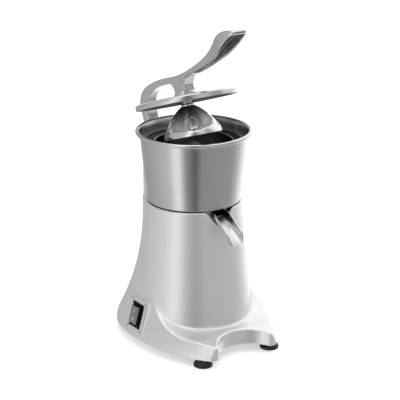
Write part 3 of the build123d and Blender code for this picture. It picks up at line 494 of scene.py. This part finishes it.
# turned steel bowl with rolled rim
bowl = {"stepRadius": 66.0, "stepBottom": 206.0, "stepTop": 217.7, "footRadius": 71.2, "footHeight": 219.0,
        "wallRadius": 81.4, "flareStart": 9.0, "flareIn": 0.9, "neckDrop": 3.5, "neckIn": 0.1,
        "rimHeight": 322.8, "rimCentre": 84.5, "rimRoll": 3.0, "rollStart": -100, "rollTurn": 270,
        "rollSteps": 16, "innerDrop": 5.0, "sheet": 1.5, "tubeRadius": 13.0, "tubeTop": 258.0,
        "mouthPlace": (0, -66.0, 212.2), "mouthSize": (23.0, 12.0, 9.4), "steps": 160}


def makeBowl():
    sheet, roll, rimZ = bowl["sheet"], bowl["rimRoll"], bowl["rimHeight"]
    tube, step, wall, foot = bowl["tubeRadius"], bowl["stepRadius"], bowl["wallRadius"], bowl["footRadius"]
    low, floor = bowl["stepBottom"], bowl["stepBottom"] + sheet
    outline = [(tube - sheet, low), (step, low), (step, bowl["stepTop"]), (foot, bowl["footHeight"]),
               (wall - bowl["flareIn"], rimZ - bowl["flareStart"]),
               (wall - bowl["neckIn"], rimZ - bowl["neckDrop"])]
    outline = roundCorners(outline, {1: 1.2, 2: 0.8, 3: 1.6, 4: 8.0})
    for index in range(bowl["rollSteps"] + 1):
        turn = math.radians(bowl["rollStart"] + bowl["rollTurn"] * index / bowl["rollSteps"])
        outline.append((bowl["rimCentre"] + roll * math.cos(turn), rimZ + roll * math.sin(turn)))
    inner = [outline[-1], (wall - sheet, rimZ - bowl["innerDrop"]), (foot - sheet, bowl["footHeight"] + 1),
             (step - sheet, bowl["stepTop"] + 1), (step - sheet, floor), (tube, floor),
             (tube, bowl["tubeTop"]), (tube - sheet, bowl["tubeTop"]), (tube - sheet, low)]
    outline += roundCorners(inner, {1: 1.5, 2: 1.5, 3: 1.5, 4: 1.2, 5: 1.0, 6: 0.5, 7: 0.5})[1:]
    piece = turnedPiece("bowlShell", outline, bowl["steps"])
    boolCut(piece, cubeCutter(bowl["mouthPlace"], bowl["mouthSize"]))
    smoothShade(piece, 40)
    settle(piece, "base", "bowl_steel", "bowl")


makeBowl()

# strainer basket: wide flange, bead and slotted floor
strainer = {"hole": 15.0, "floorRadius": 50.0, "floor": 257.0, "mouth": 59.5, "flange": 305.0,
            "flangeRadius": 78.3, "lip": 4.0, "lipLean": 0.45, "sheet": 1.5, "bead": 1.6, "beadFoot": 1.2,
            "beadTurn": 200, "beadSteps": 12, "slots": 18, "slotLength": 24.0, "slotWidth": 2.4,
            "slotDepth": 12.0, "steps": 144}


def makeStrainer():
    sheet, top, floor = strainer["sheet"], strainer["flange"] + strainer["sheet"], strainer["floor"]
    rim, mouth, bead, hole = strainer["flangeRadius"], strainer["mouth"], strainer["bead"], strainer["hole"]
    lipTop, lipOut = top + strainer["lip"], rim + strainer["lipLean"]
    outline = [(hole, floor), (strainer["floorRadius"], floor), (mouth, strainer["flange"]),
               (rim, strainer["flange"]), (lipOut, lipTop), (lipOut - sheet, lipTop), (rim - sheet, top),
               (mouth + bead + strainer["beadFoot"], top)]
    outline = roundCorners(outline, {1: 5.0, 2: 2.0, 3: 1.5, 4: 0.6, 5: 0.6, 6: 1.5})
    for step in range(strainer["beadSteps"] + 1):
        turn = math.radians(strainer["beadTurn"] * step / strainer["beadSteps"])
        outline.append((mouth + bead * math.cos(turn), top + bead * math.sin(turn)))
    back = [outline[-1], (strainer["floorRadius"] - sheet, floor + sheet), (hole, floor + sheet),
            (hole, floor)]
    outline += roundCorners(back, {1: 4.0, 2: 0.5})[1:]
    piece = turnedPiece("strainerBasket", outline, strainer["steps"])
    middle = (hole + strainer["floorRadius"]) / 2
    size = (strainer["slotLength"], strainer["slotWidth"], strainer["slotDepth"])
    cutters = []
    for index in range(strainer["slots"]):
        turn = 2 * math.pi * index / strainer["slots"]
        cutters.append(cubeCutter((middle * math.cos(turn), middle * math.sin(turn), floor), size, turn))
    freshSelection()
    for cutter in cutters:
        cutter.select_set(True)
    bpy.context.view_layer.objects.active = cutters[0]
    bpy.ops.object.join()
    boolCut(piece, cutters[0])
    smoothShade(piece, 40)
    settle(piece, "base", "bowl_steel", "strainer")


makeStrainer()

# spout: round-bottomed steel trough running down from the bowl's foot
chute = {"halfWidth": 13.0, "depth": 13.0, "fold": 10.0, "foldSteps": 10, "endY": -110.7, "endTop": 191.9,
         "rise": 0.62, "lip": 5.3, "top": 214.5, "sheet": 1.5, "rootRadius": 66.0, "rootSpare": 0.05,
         "corner": 5.0, "ahead": 30.0, "length": 90.0, "edge": 0.3, "rootSteps": 160, "rootHeight": 400.0}


def makeChute():
    slope = math.atan(chute["rise"])
    half, fold = chute["halfWidth"] - chute["sheet"] / 2, chute["fold"] - chute["sheet"] / 2
    low = chute["sheet"] / 2 - chute["depth"]
    across = [(-half, 0.0)]
    for step in range(chute["foldSteps"] + 1):
        turn = math.radians(180 + 90 * step / chute["foldSteps"])
        across.append((fold - half + fold * math.cos(turn), low + fold + fold * math.sin(turn)))
    across += [(-x, z) for x, z in reversed(across)]
    piece = drawnChain("spoutTrough", [(x, -chute["ahead"], z) for x, z in across])
    bpy.ops.mesh.extrude_region_move(TRANSFORM_OT_translate={"value": (0, chute["length"] * mm, 0)})
    bpy.ops.mesh.select_all(action="SELECT")
    bpy.ops.mesh.normals_make_consistent(inside=False)
    endEdit()
    corner = Vector((0, chute["endY"] * mm, chute["endTop"] * mm))
    placePiece(piece, Matrix.Translation(corner) @ Matrix.Rotation(slope, 4, "X"))
    drop = chute["depth"] / math.cos(slope) + chute["lip"] * chute["rise"]
    startEdit(piece)
    forward = Vector((0, -drop, chute["lip"])).normalized()
    bpy.ops.mesh.bisect(plane_co=corner, plane_no=forward, clear_outer=True)
    mesh = bmesh.from_edit_mesh(piece.data)
    for vert in mesh.verts:
        vert.select_set((Vector((0, vert.co.y, vert.co.z)) - corner).length < 0.0005)
    mesh.select_flush_mode()
    bmesh.update_edit_mesh(piece.data)
    bpy.ops.mesh.bevel(affect="VERTICES", offset=chute["corner"] * mm, segments=6)
    endEdit()
    applyModifier(piece, "SOLIDIFY", thickness=chute["sheet"] * mm, offset=0.0)
    startEdit(piece)
    bpy.ops.mesh.bisect(plane_co=(0, 0, chute["top"] * mm), plane_no=(0, 0, 1), clear_outer=True,
                        use_fill=True)
    endEdit()
    freshSelection()
    root, height = (chute["rootRadius"] + chute["rootSpare"]) * mm, chute["rootHeight"] * mm
    bpy.ops.mesh.primitive_cylinder_add(vertices=chute["rootSteps"], radius=root, depth=height,
                                        location=(0, 0, height / 2))
    boolCut(piece, bpy.context.object)
    applyModifier(piece, "BEVEL", width=chute["edge"] * mm, segments=2, limit_method="ANGLE",
                  angle_limit=math.radians(50))
    smoothShade(piece, 35)
    settle(piece, "base", "bowl_steel", "spout_chute")


makeChute()

# splash lid with its turned rim, collar and pressing dome, drawn closed and raised with the lever
lid = {"hole": 6.0, "collar": 17.0, "radius": 77.5, "low": 326.0, "height": 9.5, "crown": 1.5, "sheet": 1.5,
       "shoulder": 3.5, "shoulderDrop": 2.4, "innerShoulder": 5.0, "innerDrop": 3.6, "collarStep": 3.0,
       "collarSlope": 1.2, "collarIn": 1.6, "boss": 343.4, "stem": 8.6, "neck": 6.0, "stemFoot": 1.2,
       "stemFootHeight": 2.2, "thread": 5.0, "threadLength": 17.0, "steps": 160, "collarSteps": 96,
       "stemSteps": 64}


def makeLid():
    top, sheet, rim, low = lid["low"] + lid["height"], lid["sheet"], lid["radius"], lid["low"]
    crown = top + lid["crown"]
    outline = [(lid["hole"], crown - sheet), (lid["hole"], crown), (lid["collar"], crown),
               (rim - lid["shoulder"], top), (rim, top - lid["shoulderDrop"]), (rim, low), (rim - sheet, low),
               (rim - sheet, top - lid["innerDrop"]), (rim - lid["innerShoulder"], top - sheet),
               (lid["collar"], crown - sheet), (lid["hole"], crown - sheet)]
    outline = roundCorners(outline, {2: 2.0, 3: 3.5, 4: 2.6, 5: 0.6, 6: 0.6, 7: 1.5, 8: 2.0, 9: 2.0})
    piece = turnedPiece("lidDisc", outline, lid["steps"])
    raiseWithLever(piece)
    smoothShade(piece, 40)
    settle(piece, "lever", "lid_steel", "splash_lid")


def makeCollar():
    base, wide, neck, top = lid["low"] + lid["height"] + lid["crown"], lid["collar"], lid["neck"], lid["boss"]
    step = base + lid["collarStep"]
    narrow = wide - lid["collarIn"]
    outline = [(neck, base), (wide, base), (wide, step), (narrow, step + lid["collarSlope"]), (narrow, top),
               (neck, top), (neck, base)]
    outline = roundCorners(outline, {1: 0.4, 2: 0.9, 3: 0.8, 4: 0.5})
    piece = turnedPiece("lidCollar", outline, lid["collarSteps"])
    raiseWithLever(piece)
    smoothShade(piece, 40)
    settle(piece, "lever", "lever_alloy", "lid_collar")


def makeStem():
    low, high = dome["low"] + dome["outer"][-1][1], lid["low"] + lid["height"] + lid["crown"] - lid["sheet"]
    stem, boss, foot = lid["stem"], lid["boss"], lid["stem"] + lid["stemFoot"]
    footTop, tip = low + lid["stemFootHeight"], boss + lid["threadLength"]
    outline = [(0, low), (foot, low), (foot, footTop), (stem, footTop + lid["stemFoot"]), (stem, high),
               (lid["neck"], high), (lid["neck"], boss), (lid["thread"], boss), (lid["thread"], tip),
               (0, tip)]
    outline = roundCorners(outline, {1: 0.4, 2: 0.7, 3: 1.2, 4: 0.6})
    piece = turnedPiece("domeStem", outline, lid["stemSteps"])
    raiseWithLever(piece)
    smoothShade(piece, 40)
    settle(piece, "lever", "dome_chrome", "dome_stem")


# polished dome with six pressed drops
dome = {"low": 274.7, "steps": 360, "drops": 6, "firstDrop": -57.0, "dropHeight": 17.75, "dropWidth": 15.5,
        "dropRise": 20.5, "dropDepth": 2.6, "dropWall": 1.6, "dropLedge": 0.5, "dropFull": 2.377,
        "dropFoot": 1.6, "weightSteps": 50, "rim": [(44.3, -0.35), (45.1, -0.35)], "refine": 6,
        "outer": [(45.5, 0.0), (44.7, 3.62), (43.44, 7.11), (41.78, 10.43), (39.86, 13.6), (37.83, 16.71),
                  (35.78, 19.8), (33.68, 22.86), (31.51, 25.87), (29.23, 28.8), (26.82, 31.62),
                  (24.27, 34.32), (21.61, 36.91), (18.87, 39.41), (16.04, 41.8), (13.02, 43.97), (9.8, 45.8),
                  (5.0, 45.8), (0.0, 45.8)],
        "inner": [(0.0, 44.2), (4.0, 44.2), (8.2, 44.2), (11.47, 42.47), (14.62, 40.55), (17.61, 38.38),
                  (20.41, 35.97), (23.04, 33.38), (25.53, 30.64), (27.88, 27.79), (30.12, 24.85),
                  (32.27, 21.85), (34.34, 18.79), (36.37, 15.7), (38.36, 12.58), (40.24, 9.4), (41.87, 6.08),
                  (43.11, 2.61), (43.75, 0.0)]}


def refined(points, parts):
    # smooth chain through the points, with more of them
    full = [Vector(point) for point in [points[0], *points, points[-1]]]
    chain = []
    for a, b, c, d in zip(full, full[1:], full[2:], full[3:]):
        for step in range(parts):
            s = step / parts
            curve = 2 * b + (c - a) * s + (2 * a - 5 * b + 4 * c - d) * s**2
            curve += (3 * b - a - 3 * c + d) * s**3
            chain.append(tuple(curve / 2))
    return chain + [tuple(points[-1])]


def dropWeight(point):
    # how deep the pressed drops are at one place of the dome, 1 at the crease of a drop
    pitch = 360 / dome["drops"]
    side = math.degrees(math.atan2(point.y, point.x)) - dome["firstDrop"] + pitch / 2
    across = abs(math.radians(side % pitch - pitch / 2) * math.hypot(point.x, point.y) / mm)
    along = (point.z / mm - dome["low"] - dome["dropHeight"]) / dome["dropRise"] + 0.5
    if not 0 < along < 1:
        return 0.0
    half = dome["dropWidth"] / 2
    width = half * dome["dropFull"] * math.sqrt(along) * (1 - along)**0.8
    room = max(min(width - across, dome["dropFoot"] * along * half), 0.0)
    ledge = min(room / dome["dropWall"], 1.0)
    return dome["dropLedge"] * ledge + (1 - dome["dropLedge"]) * min(room / half, 1.0)


def makeDome():
    inner, rim, outer = [[(radius, dome["low"] + height) for radius, height in dome[part]]
                         for part in ("inner", "rim", "outer")]
    piece = turnedPiece("pressingDome", inner + rim + refined(outer, dome["refine"]), dome["steps"])
    weighVertices(piece, "drops", dropWeight, dome["weightSteps"])
    applyModifier(piece, "DISPLACE", strength=-dome["dropDepth"] * mm, mid_level=0.0, direction="NORMAL",
                  vertex_group="drops")
    applyModifier(piece, "SMOOTH", factor=0.5, iterations=2)
    raiseWithLever(piece)
    smoothShade(piece, 60)
    settle(piece, "lever", "dome_chrome", "dome")


makeLid()
makeCollar()
makeStem()
makeDome()

# cast lever with generous round edges, its seat and hinge eye kept true
lever = {"voxel": 0.8, "rounding": 30, "softening": 3, "seatClear": 3.0, "seatFront": -60.0, "eyeClear": 14.0,
         "hollowStart": -150.0, "lip": 3.5, "edge": 1.0, "skin": 1.6, "slice": 3.0}


def markHollow(piece, places):
    # 1 inside the grip's hollow: under its skin, above its edge and between its sides
    slices = {}
    for x, y, z in places:
        slices.setdefault(round(y / lever["slice"]), []).append((abs(x), z))
    extent = {}
    for key, row in slices.items():
        sides, heights = zip(*row)
        extent[key] = (max(sides) - lever["lip"], min(heights) + lever["edge"],
                       max(heights) - lever["skin"])
    values = []
    for x, y, z in places:
        wide, low, high = extent[round(y / lever["slice"])]
        values.append(1.0 if y < lever["hollowStart"] and abs(x) < wide and low < z < high else 0.0)
    piece.data.attributes.new("hollow", "FLOAT", "POINT").data.foreach_set("value", values)


def makeLever():
    piece = copyOfNode("lever_arm", "leverCasting")
    applyModifier(piece, "REMESH", mode="VOXEL", voxel_size=lever["voxel"] * mm)
    lowered = Matrix.Rotation(-leverTurn, 4, "X") @ Matrix.Translation(-hingePlace)
    outside = []
    for vert in piece.data.vertices:
        y, z = (lowered @ vert.co).yz / mm
        nearEye = math.hypot(y, z) < lever["eyeClear"]
        nearSeat = z < lid["boss"] - hingePlace.z / mm + lever["seatClear"] and y < lever["seatFront"]
        if not nearEye and not nearSeat:
            outside.append(vert.index)
    piece.vertex_groups.new(name="outside").add(outside, 1.0, "REPLACE")
    applyModifier(piece, "SMOOTH", factor=0.5, iterations=lever["rounding"], vertex_group="outside")
    applyModifier(piece, "SMOOTH", factor=0.5, iterations=lever["softening"])
    markHollow(piece, [tuple((lowered @ vert.co) / mm) for vert in piece.data.vertices])
    smoothShade(piece, 60)
    settle(piece, "lever", "lever_alloy", "lever_arm")


makeLever()

# moulded reamer, its ribs softened all over
reamer = {"voxel": 0.8, "softening": 6}


def makeReamer():
    piece = copyOfNode("reamer", "reamerCone")
    applyModifier(piece, "REMESH", mode="VOXEL", voxel_size=reamer["voxel"] * mm)
    applyModifier(piece, "SMOOTH", factor=0.5, iterations=reamer["softening"])
    smoothShade(piece, 60)
    settle(piece, "rotor", "reamer_plastic", "reamer")


makeReamer()

# rubber feet, one turned and four placed
foot = {"radius": 14.3, "neck": 8.5, "pad": 4.0, "height": 11.0, "bore": 2.7, "screwRoom": 4.7,
        "screwDepth": 4.0, "steps": 64,
        "places": {"foot_front_left": (-60, -116), "foot_front_right": (60, -116),
                   "foot_rear_left": (-66, 82), "foot_rear_right": (66, 82)}}


def makeFeet():
    bore, height, deep = foot["bore"], foot["height"], foot["screwDepth"]
    outline = [(bore, height), (bore, deep), (foot["screwRoom"], deep), (foot["screwRoom"], 0),
               (foot["radius"], 0), (foot["radius"], foot["pad"]), (foot["neck"], height), (bore, height)]
    outline = roundCorners(outline, {2: 0.4, 3: 0.8, 4: 1.6, 5: 2.2, 6: 0.6})
    first = turnedPiece("footMould", outline, foot["steps"])
    for node, (x, y) in foot["places"].items():
        piece = bpy.data.objects.new("rubber_" + node, first.data.copy())
        bpy.context.scene.collection.objects.link(piece)
        placePiece(piece, Matrix.Translation((x * mm, y * mm, 0)))
        smoothShade(piece, 40)
        settle(piece, "base", "foot_rubber", node)
    bpy.data.objects.remove(first)


makeFeet()

# switch on the leaning panel: cast surround, black frame, splash boot and its marks
switch = {"width": 29.4, "height": 37.4, "rim": 3.5, "corner": 1.5, "edge": 0.6, "recess": 1.0, "depth": 3.0,
          "bootWidth": 21.8, "bootHeight": 29.8, "bootTop": 6.0, "bootCorner": 2.0, "bootEdge": 1.2,
          "draft": 1.25, "bootWall": 1.0, "padWidth": 41.4, "padHeight": 49.4, "padRim": 5.6, "padTop": 0.4,
          "padDepth": 6.5, "padCorner": 3.0, "padEdge": 1.3, "markWidth": 1.5, "markHeight": 6.5,
          "markRadius": 3.2, "markPlace": 6.0, "markCorner": 0.5, "markSink": 0.1, "markRise": 0.35}


def onPanel(piece):
    placePiece(piece, Matrix.Translation(panelPlace) @ panelTurn.to_4x4())


def roundedPlate(name, width, height, corner, level):
    freshSelection()
    bpy.ops.mesh.primitive_plane_add(size=1, location=(0, 0, level * mm))
    piece = bpy.context.object
    piece.name = piece.data.name = name
    piece.scale = (width * mm, height * mm, 1)
    bpy.ops.object.transform_apply(location=True, rotation=True, scale=True)
    startEdit(piece)
    bpy.ops.mesh.bevel(affect="VERTICES", offset=corner * mm, segments=5)
    bpy.ops.mesh.select_all(action="SELECT")
    return piece


def panelFrame(name, width, height, rim, level, depth, corner, edge):
    # flat ring with a hole, given its depth and soft edges
    piece = roundedPlate(name, width, height, corner, level)
    bpy.ops.mesh.inset(thickness=rim * mm)
    bpy.ops.mesh.delete(type="FACE")
    endEdit()
    applyModifier(piece, "SOLIDIFY", thickness=depth * mm, offset=-1.0)
    applyModifier(piece, "BEVEL", width=edge * mm, segments=4, limit_method="ANGLE",
                  angle_limit=math.radians(50))
    onPanel(piece)
    smoothShade(piece, 40)
    return piece


def makeBoot():
    base = -switch["recess"] - switch["depth"]
    piece = roundedPlate("switchBoot", switch["bootWidth"], switch["bootHeight"], switch["bootCorner"], base)
    rise = (0, 0, (switch["bootTop"] - base) * mm)
    bpy.ops.mesh.extrude_region_move(TRANSFORM_OT_translate={"value": rise})
    share = 1 - 2 * switch["draft"] / switch["bootWidth"]
    bpy.ops.transform.resize(value=(share, share, 1))
    bpy.ops.mesh.bevel(affect="EDGES", offset=switch["bootEdge"] * mm, segments=4)
    bpy.ops.mesh.select_mode(type="FACE")
    selectFaces(piece, lambda middle, normal: abs(middle.z - base * mm) < 0.0001)
    bpy.ops.mesh.delete(type="FACE")
    bpy.ops.mesh.select_all(action="SELECT")
    bpy.ops.mesh.normals_make_consistent(inside=False)
    endEdit()
    applyModifier(piece, "SOLIDIFY", thickness=switch["bootWall"] * mm, offset=-1.0)
    onPanel(piece)
    smoothShade(piece, 40)
    settle(piece, "base", "boot_clear", "switch_boot")


def makeMarks():
    # plain bar and ring for on and off
    level = switch["bootTop"] - switch["markSink"]
    piece = roundedPlate("switchMarks", switch["markWidth"], switch["markHeight"], switch["markCorner"],
                         level)
    bpy.ops.transform.translate(value=(0, switch["markPlace"] * mm, 0))
    bpy.ops.mesh.select_all(action="DESELECT")
    bpy.ops.mesh.primitive_circle_add(vertices=40, radius=switch["markRadius"] * mm, fill_type="NGON",
                                      location=(0, -switch["markPlace"] * mm, level * mm))
    bpy.ops.mesh.inset(thickness=switch["markWidth"] * mm)
    bpy.ops.mesh.delete(type="FACE")
    endEdit()
    applyModifier(piece, "SOLIDIFY", thickness=switch["markRise"] * mm, offset=1.0)
    onPanel(piece)
    settle(piece, "base", "switch_grey")


def makeSwitch():
    pad = panelFrame("switchSurround", switch["padWidth"], switch["padHeight"], switch["padRim"],
                     switch["padTop"], switch["padDepth"], switch["padCorner"], switch["padEdge"])
    settle(pad, "base", "silver_lacquer")
    bezel = panelFrame("switchFrame", switch["width"], switch["height"], switch["rim"], -switch["recess"],
                       switch["depth"], switch["corner"], switch["edge"])
    settle(bezel, "base", "switch_black", "switch_bezel")
    makeBoot()
    makeMarks()


makeSwitch()

# housing casting: outer skin of the hollow shell, softened all over
housing = {"voxel": 1.75, "bottom": 11.2, "plateInset": 4.2, "plateRise": 3.0, "switchHalf": (15.1, 19.1),
           "switchDepth": 4.5, "seatHeights": (197.9, 206.1), "seatRadius": 45.0, "glandBack": 100.0,
           "glandHeight": 66.0, "glandRadius": 8.05, "creaseRounds": 34, "creaseSteps": 10, "softening": 4}
# creases: where each fade starts and its length; high counts downwards and back counts forwards
crease = {"low": (18, 12), "high": (-115, 15), "back": (-30, 20), "front": (-118, 20), "left": (-98, 8)}


def onPanelPlace(point):
    return (panelTurn.transposed() @ (point - panelPlace)) / mm


def inSwitch(point):
    across, up, depth = onPanelPlace(point)
    return abs(across) < housing["switchHalf"][0] and abs(up) < housing["switchHalf"][1], depth


def underFace(middle, normal):
    return middle.z / mm < housing["bottom"] and normal.z < -0.9


def joinsSkins(middle, normal):
    # faces between the outside and the hollow of the casting
    x, y, z = middle / mm
    within, depth = inSwitch(middle)
    tunnel = within and depth < -0.01
    low, high = housing["seatHeights"]
    seat = low < z < high and math.hypot(x, y) < housing["seatRadius"] and abs(normal.z) < 0.95
    nearGland = math.hypot(x, z - housing["glandHeight"]) < housing["glandRadius"]
    gland = y > housing["glandBack"] and nearGland and abs(normal.y) < 0.5
    return underFace(middle, normal) or tunnel or seat or gland


def inOpening(middle, normal):
    within, depth = inSwitch(middle)
    return within and abs(depth) < 0.5 and normal.dot(panelOut) > 0.9


def creaseWeight(point):
    # how far the creases between belly, deck and flank are rounded, fading out to toes and switch
    place = point / mm
    inside = {"low": place.z, "high": -place.z, "back": -place.y, "front": place.y}
    if place.x < 0:
        inside["left"] = place.x
    fades = [(value - crease[side][0]) / crease[side][1] for side, value in inside.items()]
    return min(max(min(fades), 0.0), 1.0)


def makeHousing():
    piece = copyOfNode("housing", "housingCasting")
    startEdit(piece, "FACE")
    selectFaces(piece, joinsSkins)
    bpy.ops.mesh.delete(type="FACE")
    mesh = bmesh.from_edit_mesh(piece.data)
    seed = min(mesh.verts, key=lambda vert: vert.co.y)
    bpy.ops.mesh.select_mode(type="VERT")
    bpy.ops.mesh.select_all(action="DESELECT")
    seed.select_set(True)
    bmesh.update_edit_mesh(piece.data)
    bpy.ops.mesh.select_linked()
    bpy.ops.mesh.select_all(action="INVERT")
    bpy.ops.mesh.delete(type="VERT")
    bpy.ops.mesh.select_all(action="SELECT")
    bpy.ops.mesh.fill_holes(sides=0)
    bpy.ops.mesh.select_all(action="SELECT")
    bpy.ops.mesh.normals_make_consistent(inside=False)
    bpy.ops.mesh.select_mode(type="FACE")
    selectFaces(piece, inOpening)
    inward = panelOut * -housing["switchDepth"] * mm
    bpy.ops.mesh.extrude_region_move(TRANSFORM_OT_translate={"value": inward})
    selectFaces(piece, underFace)
    bpy.ops.mesh.inset(thickness=housing["plateInset"] * mm)
    bpy.ops.transform.translate(value=(0, 0, housing["plateRise"] * mm))
    endEdit()
    applyModifier(piece, "REMESH", mode="VOXEL", voxel_size=housing["voxel"] * mm)
    weighVertices(piece, "creases", creaseWeight, housing["creaseSteps"])
    applyModifier(piece, "SMOOTH", factor=0.5, iterations=housing["creaseRounds"], vertex_group="creases")
    applyModifier(piece, "SMOOTH", factor=0.5, iterations=housing["softening"])
    smoothShade(piece, 60)
    settle(piece, "base", "silver_lacquer", "housing")


makeHousing()

# plain pale floor and the studio round it
stage = {"size": 24, "dark": (0.90, 0.90, 0.90), "light": (0.92, 0.92, 0.92), "rough": 0.9, "spec": 0.1,
         "glow": 0.45}


def makeFloor():
    freshSelection()
    bpy.ops.mesh.primitive_plane_add(size=stage["size"])
    floor = bpy.context.object
    floor.name = "studioFloor"
    floor.visible_glossy = False     # metal shows the studio walls, as over a light table
    material, shader, place = openMaterial("paleFloor")
    setSockets(shader, place, colour=place.noise(3, 2.0).blend(stage["dark"], stage["light"]),
               rough=stage["rough"], spec=stage["spec"], glow=stage["glow"])
    shader.inputs["Emission Color"].default_value = (1, 1, 1, 1)
    floor.data.materials.append(material)


makeFloor()

# wall brightness round the object, by degrees from the camera's side, right positive
studio = {"walls": [(-180, 0.62), (-144, 0.42), (-116, 0.50), (-90, 0.58), (-60, 0.72), (-51, 0.95),
                    (-42, 1.15), (-33, 1.08), (-25, 0.62), (-16, 0.33), (-4, 0.20), (4, 0.12), (10, 0.20),
                    (18, 0.35), (60, 0.38), (98, 0.42), (118, 0.66), (134, 1.05), (154, 1.25)],
          "upper": [(-180, 0.60), (-144, 0.40), (-116, 0.46), (-90, 0.52), (-60, 0.55), (-46, 0.62),
                    (-37, 1.05), (-28, 1.20), (-18, 1.05), (-10, 0.45), (-2, 0.18), (8, 0.20), (18, 0.50),
                    (34, 0.70), (50, 0.66), (66, 0.46), (86, 0.42), (100, 0.95), (140, 1.30)],
          "upperStart": (-0.05, 0.25), "overhead": 1.5, "overheadStart": (0.75, 0.98), "below": 0.7,
          "belowStart": (-0.6, -0.9), "toward": (-0.5499, -0.8352)}


def lightStudio():
    world = bpy.data.worlds.new("studio")
    bpy.context.scene.world = world
    world.use_nodes = True
    tree = world.node_tree
    background = tree.nodes["Background"]
    start = Wire(tree, background.outputs[0]).add("TexCoord", {}, {}, "Generated")
    x, y, z = start.parts()
    ahead, side = studio["toward"]
    turn = (-side * x + ahead * y).turnFrom(ahead * x + side * y)

    def mixed(limits, low, high):
        share = start.add("MapRange", {"interpolation_type": "SMOOTHSTEP"},
                          {0: z, 1: limits[0], 2: limits[1]})
        return start.add("Mix", {"data_type": "RGBA"}, {0: share, 6: low, 7: high}, 2)

    def grey(level):
        return (level, level, level, 1.0)

    walls = mixed(studio["upperStart"], turn.ring(studio["walls"]), turn.ring(studio["upper"]))
    lit = mixed(studio["overheadStart"], walls, grey(studio["overhead"]))
    lit = mixed(studio["belowStart"], lit, grey(studio["below"]))
    start.feed(background.inputs["Color"], lit)
    background.inputs["Strength"].default_value = 1.0


lightStudio()
print("studio lit")
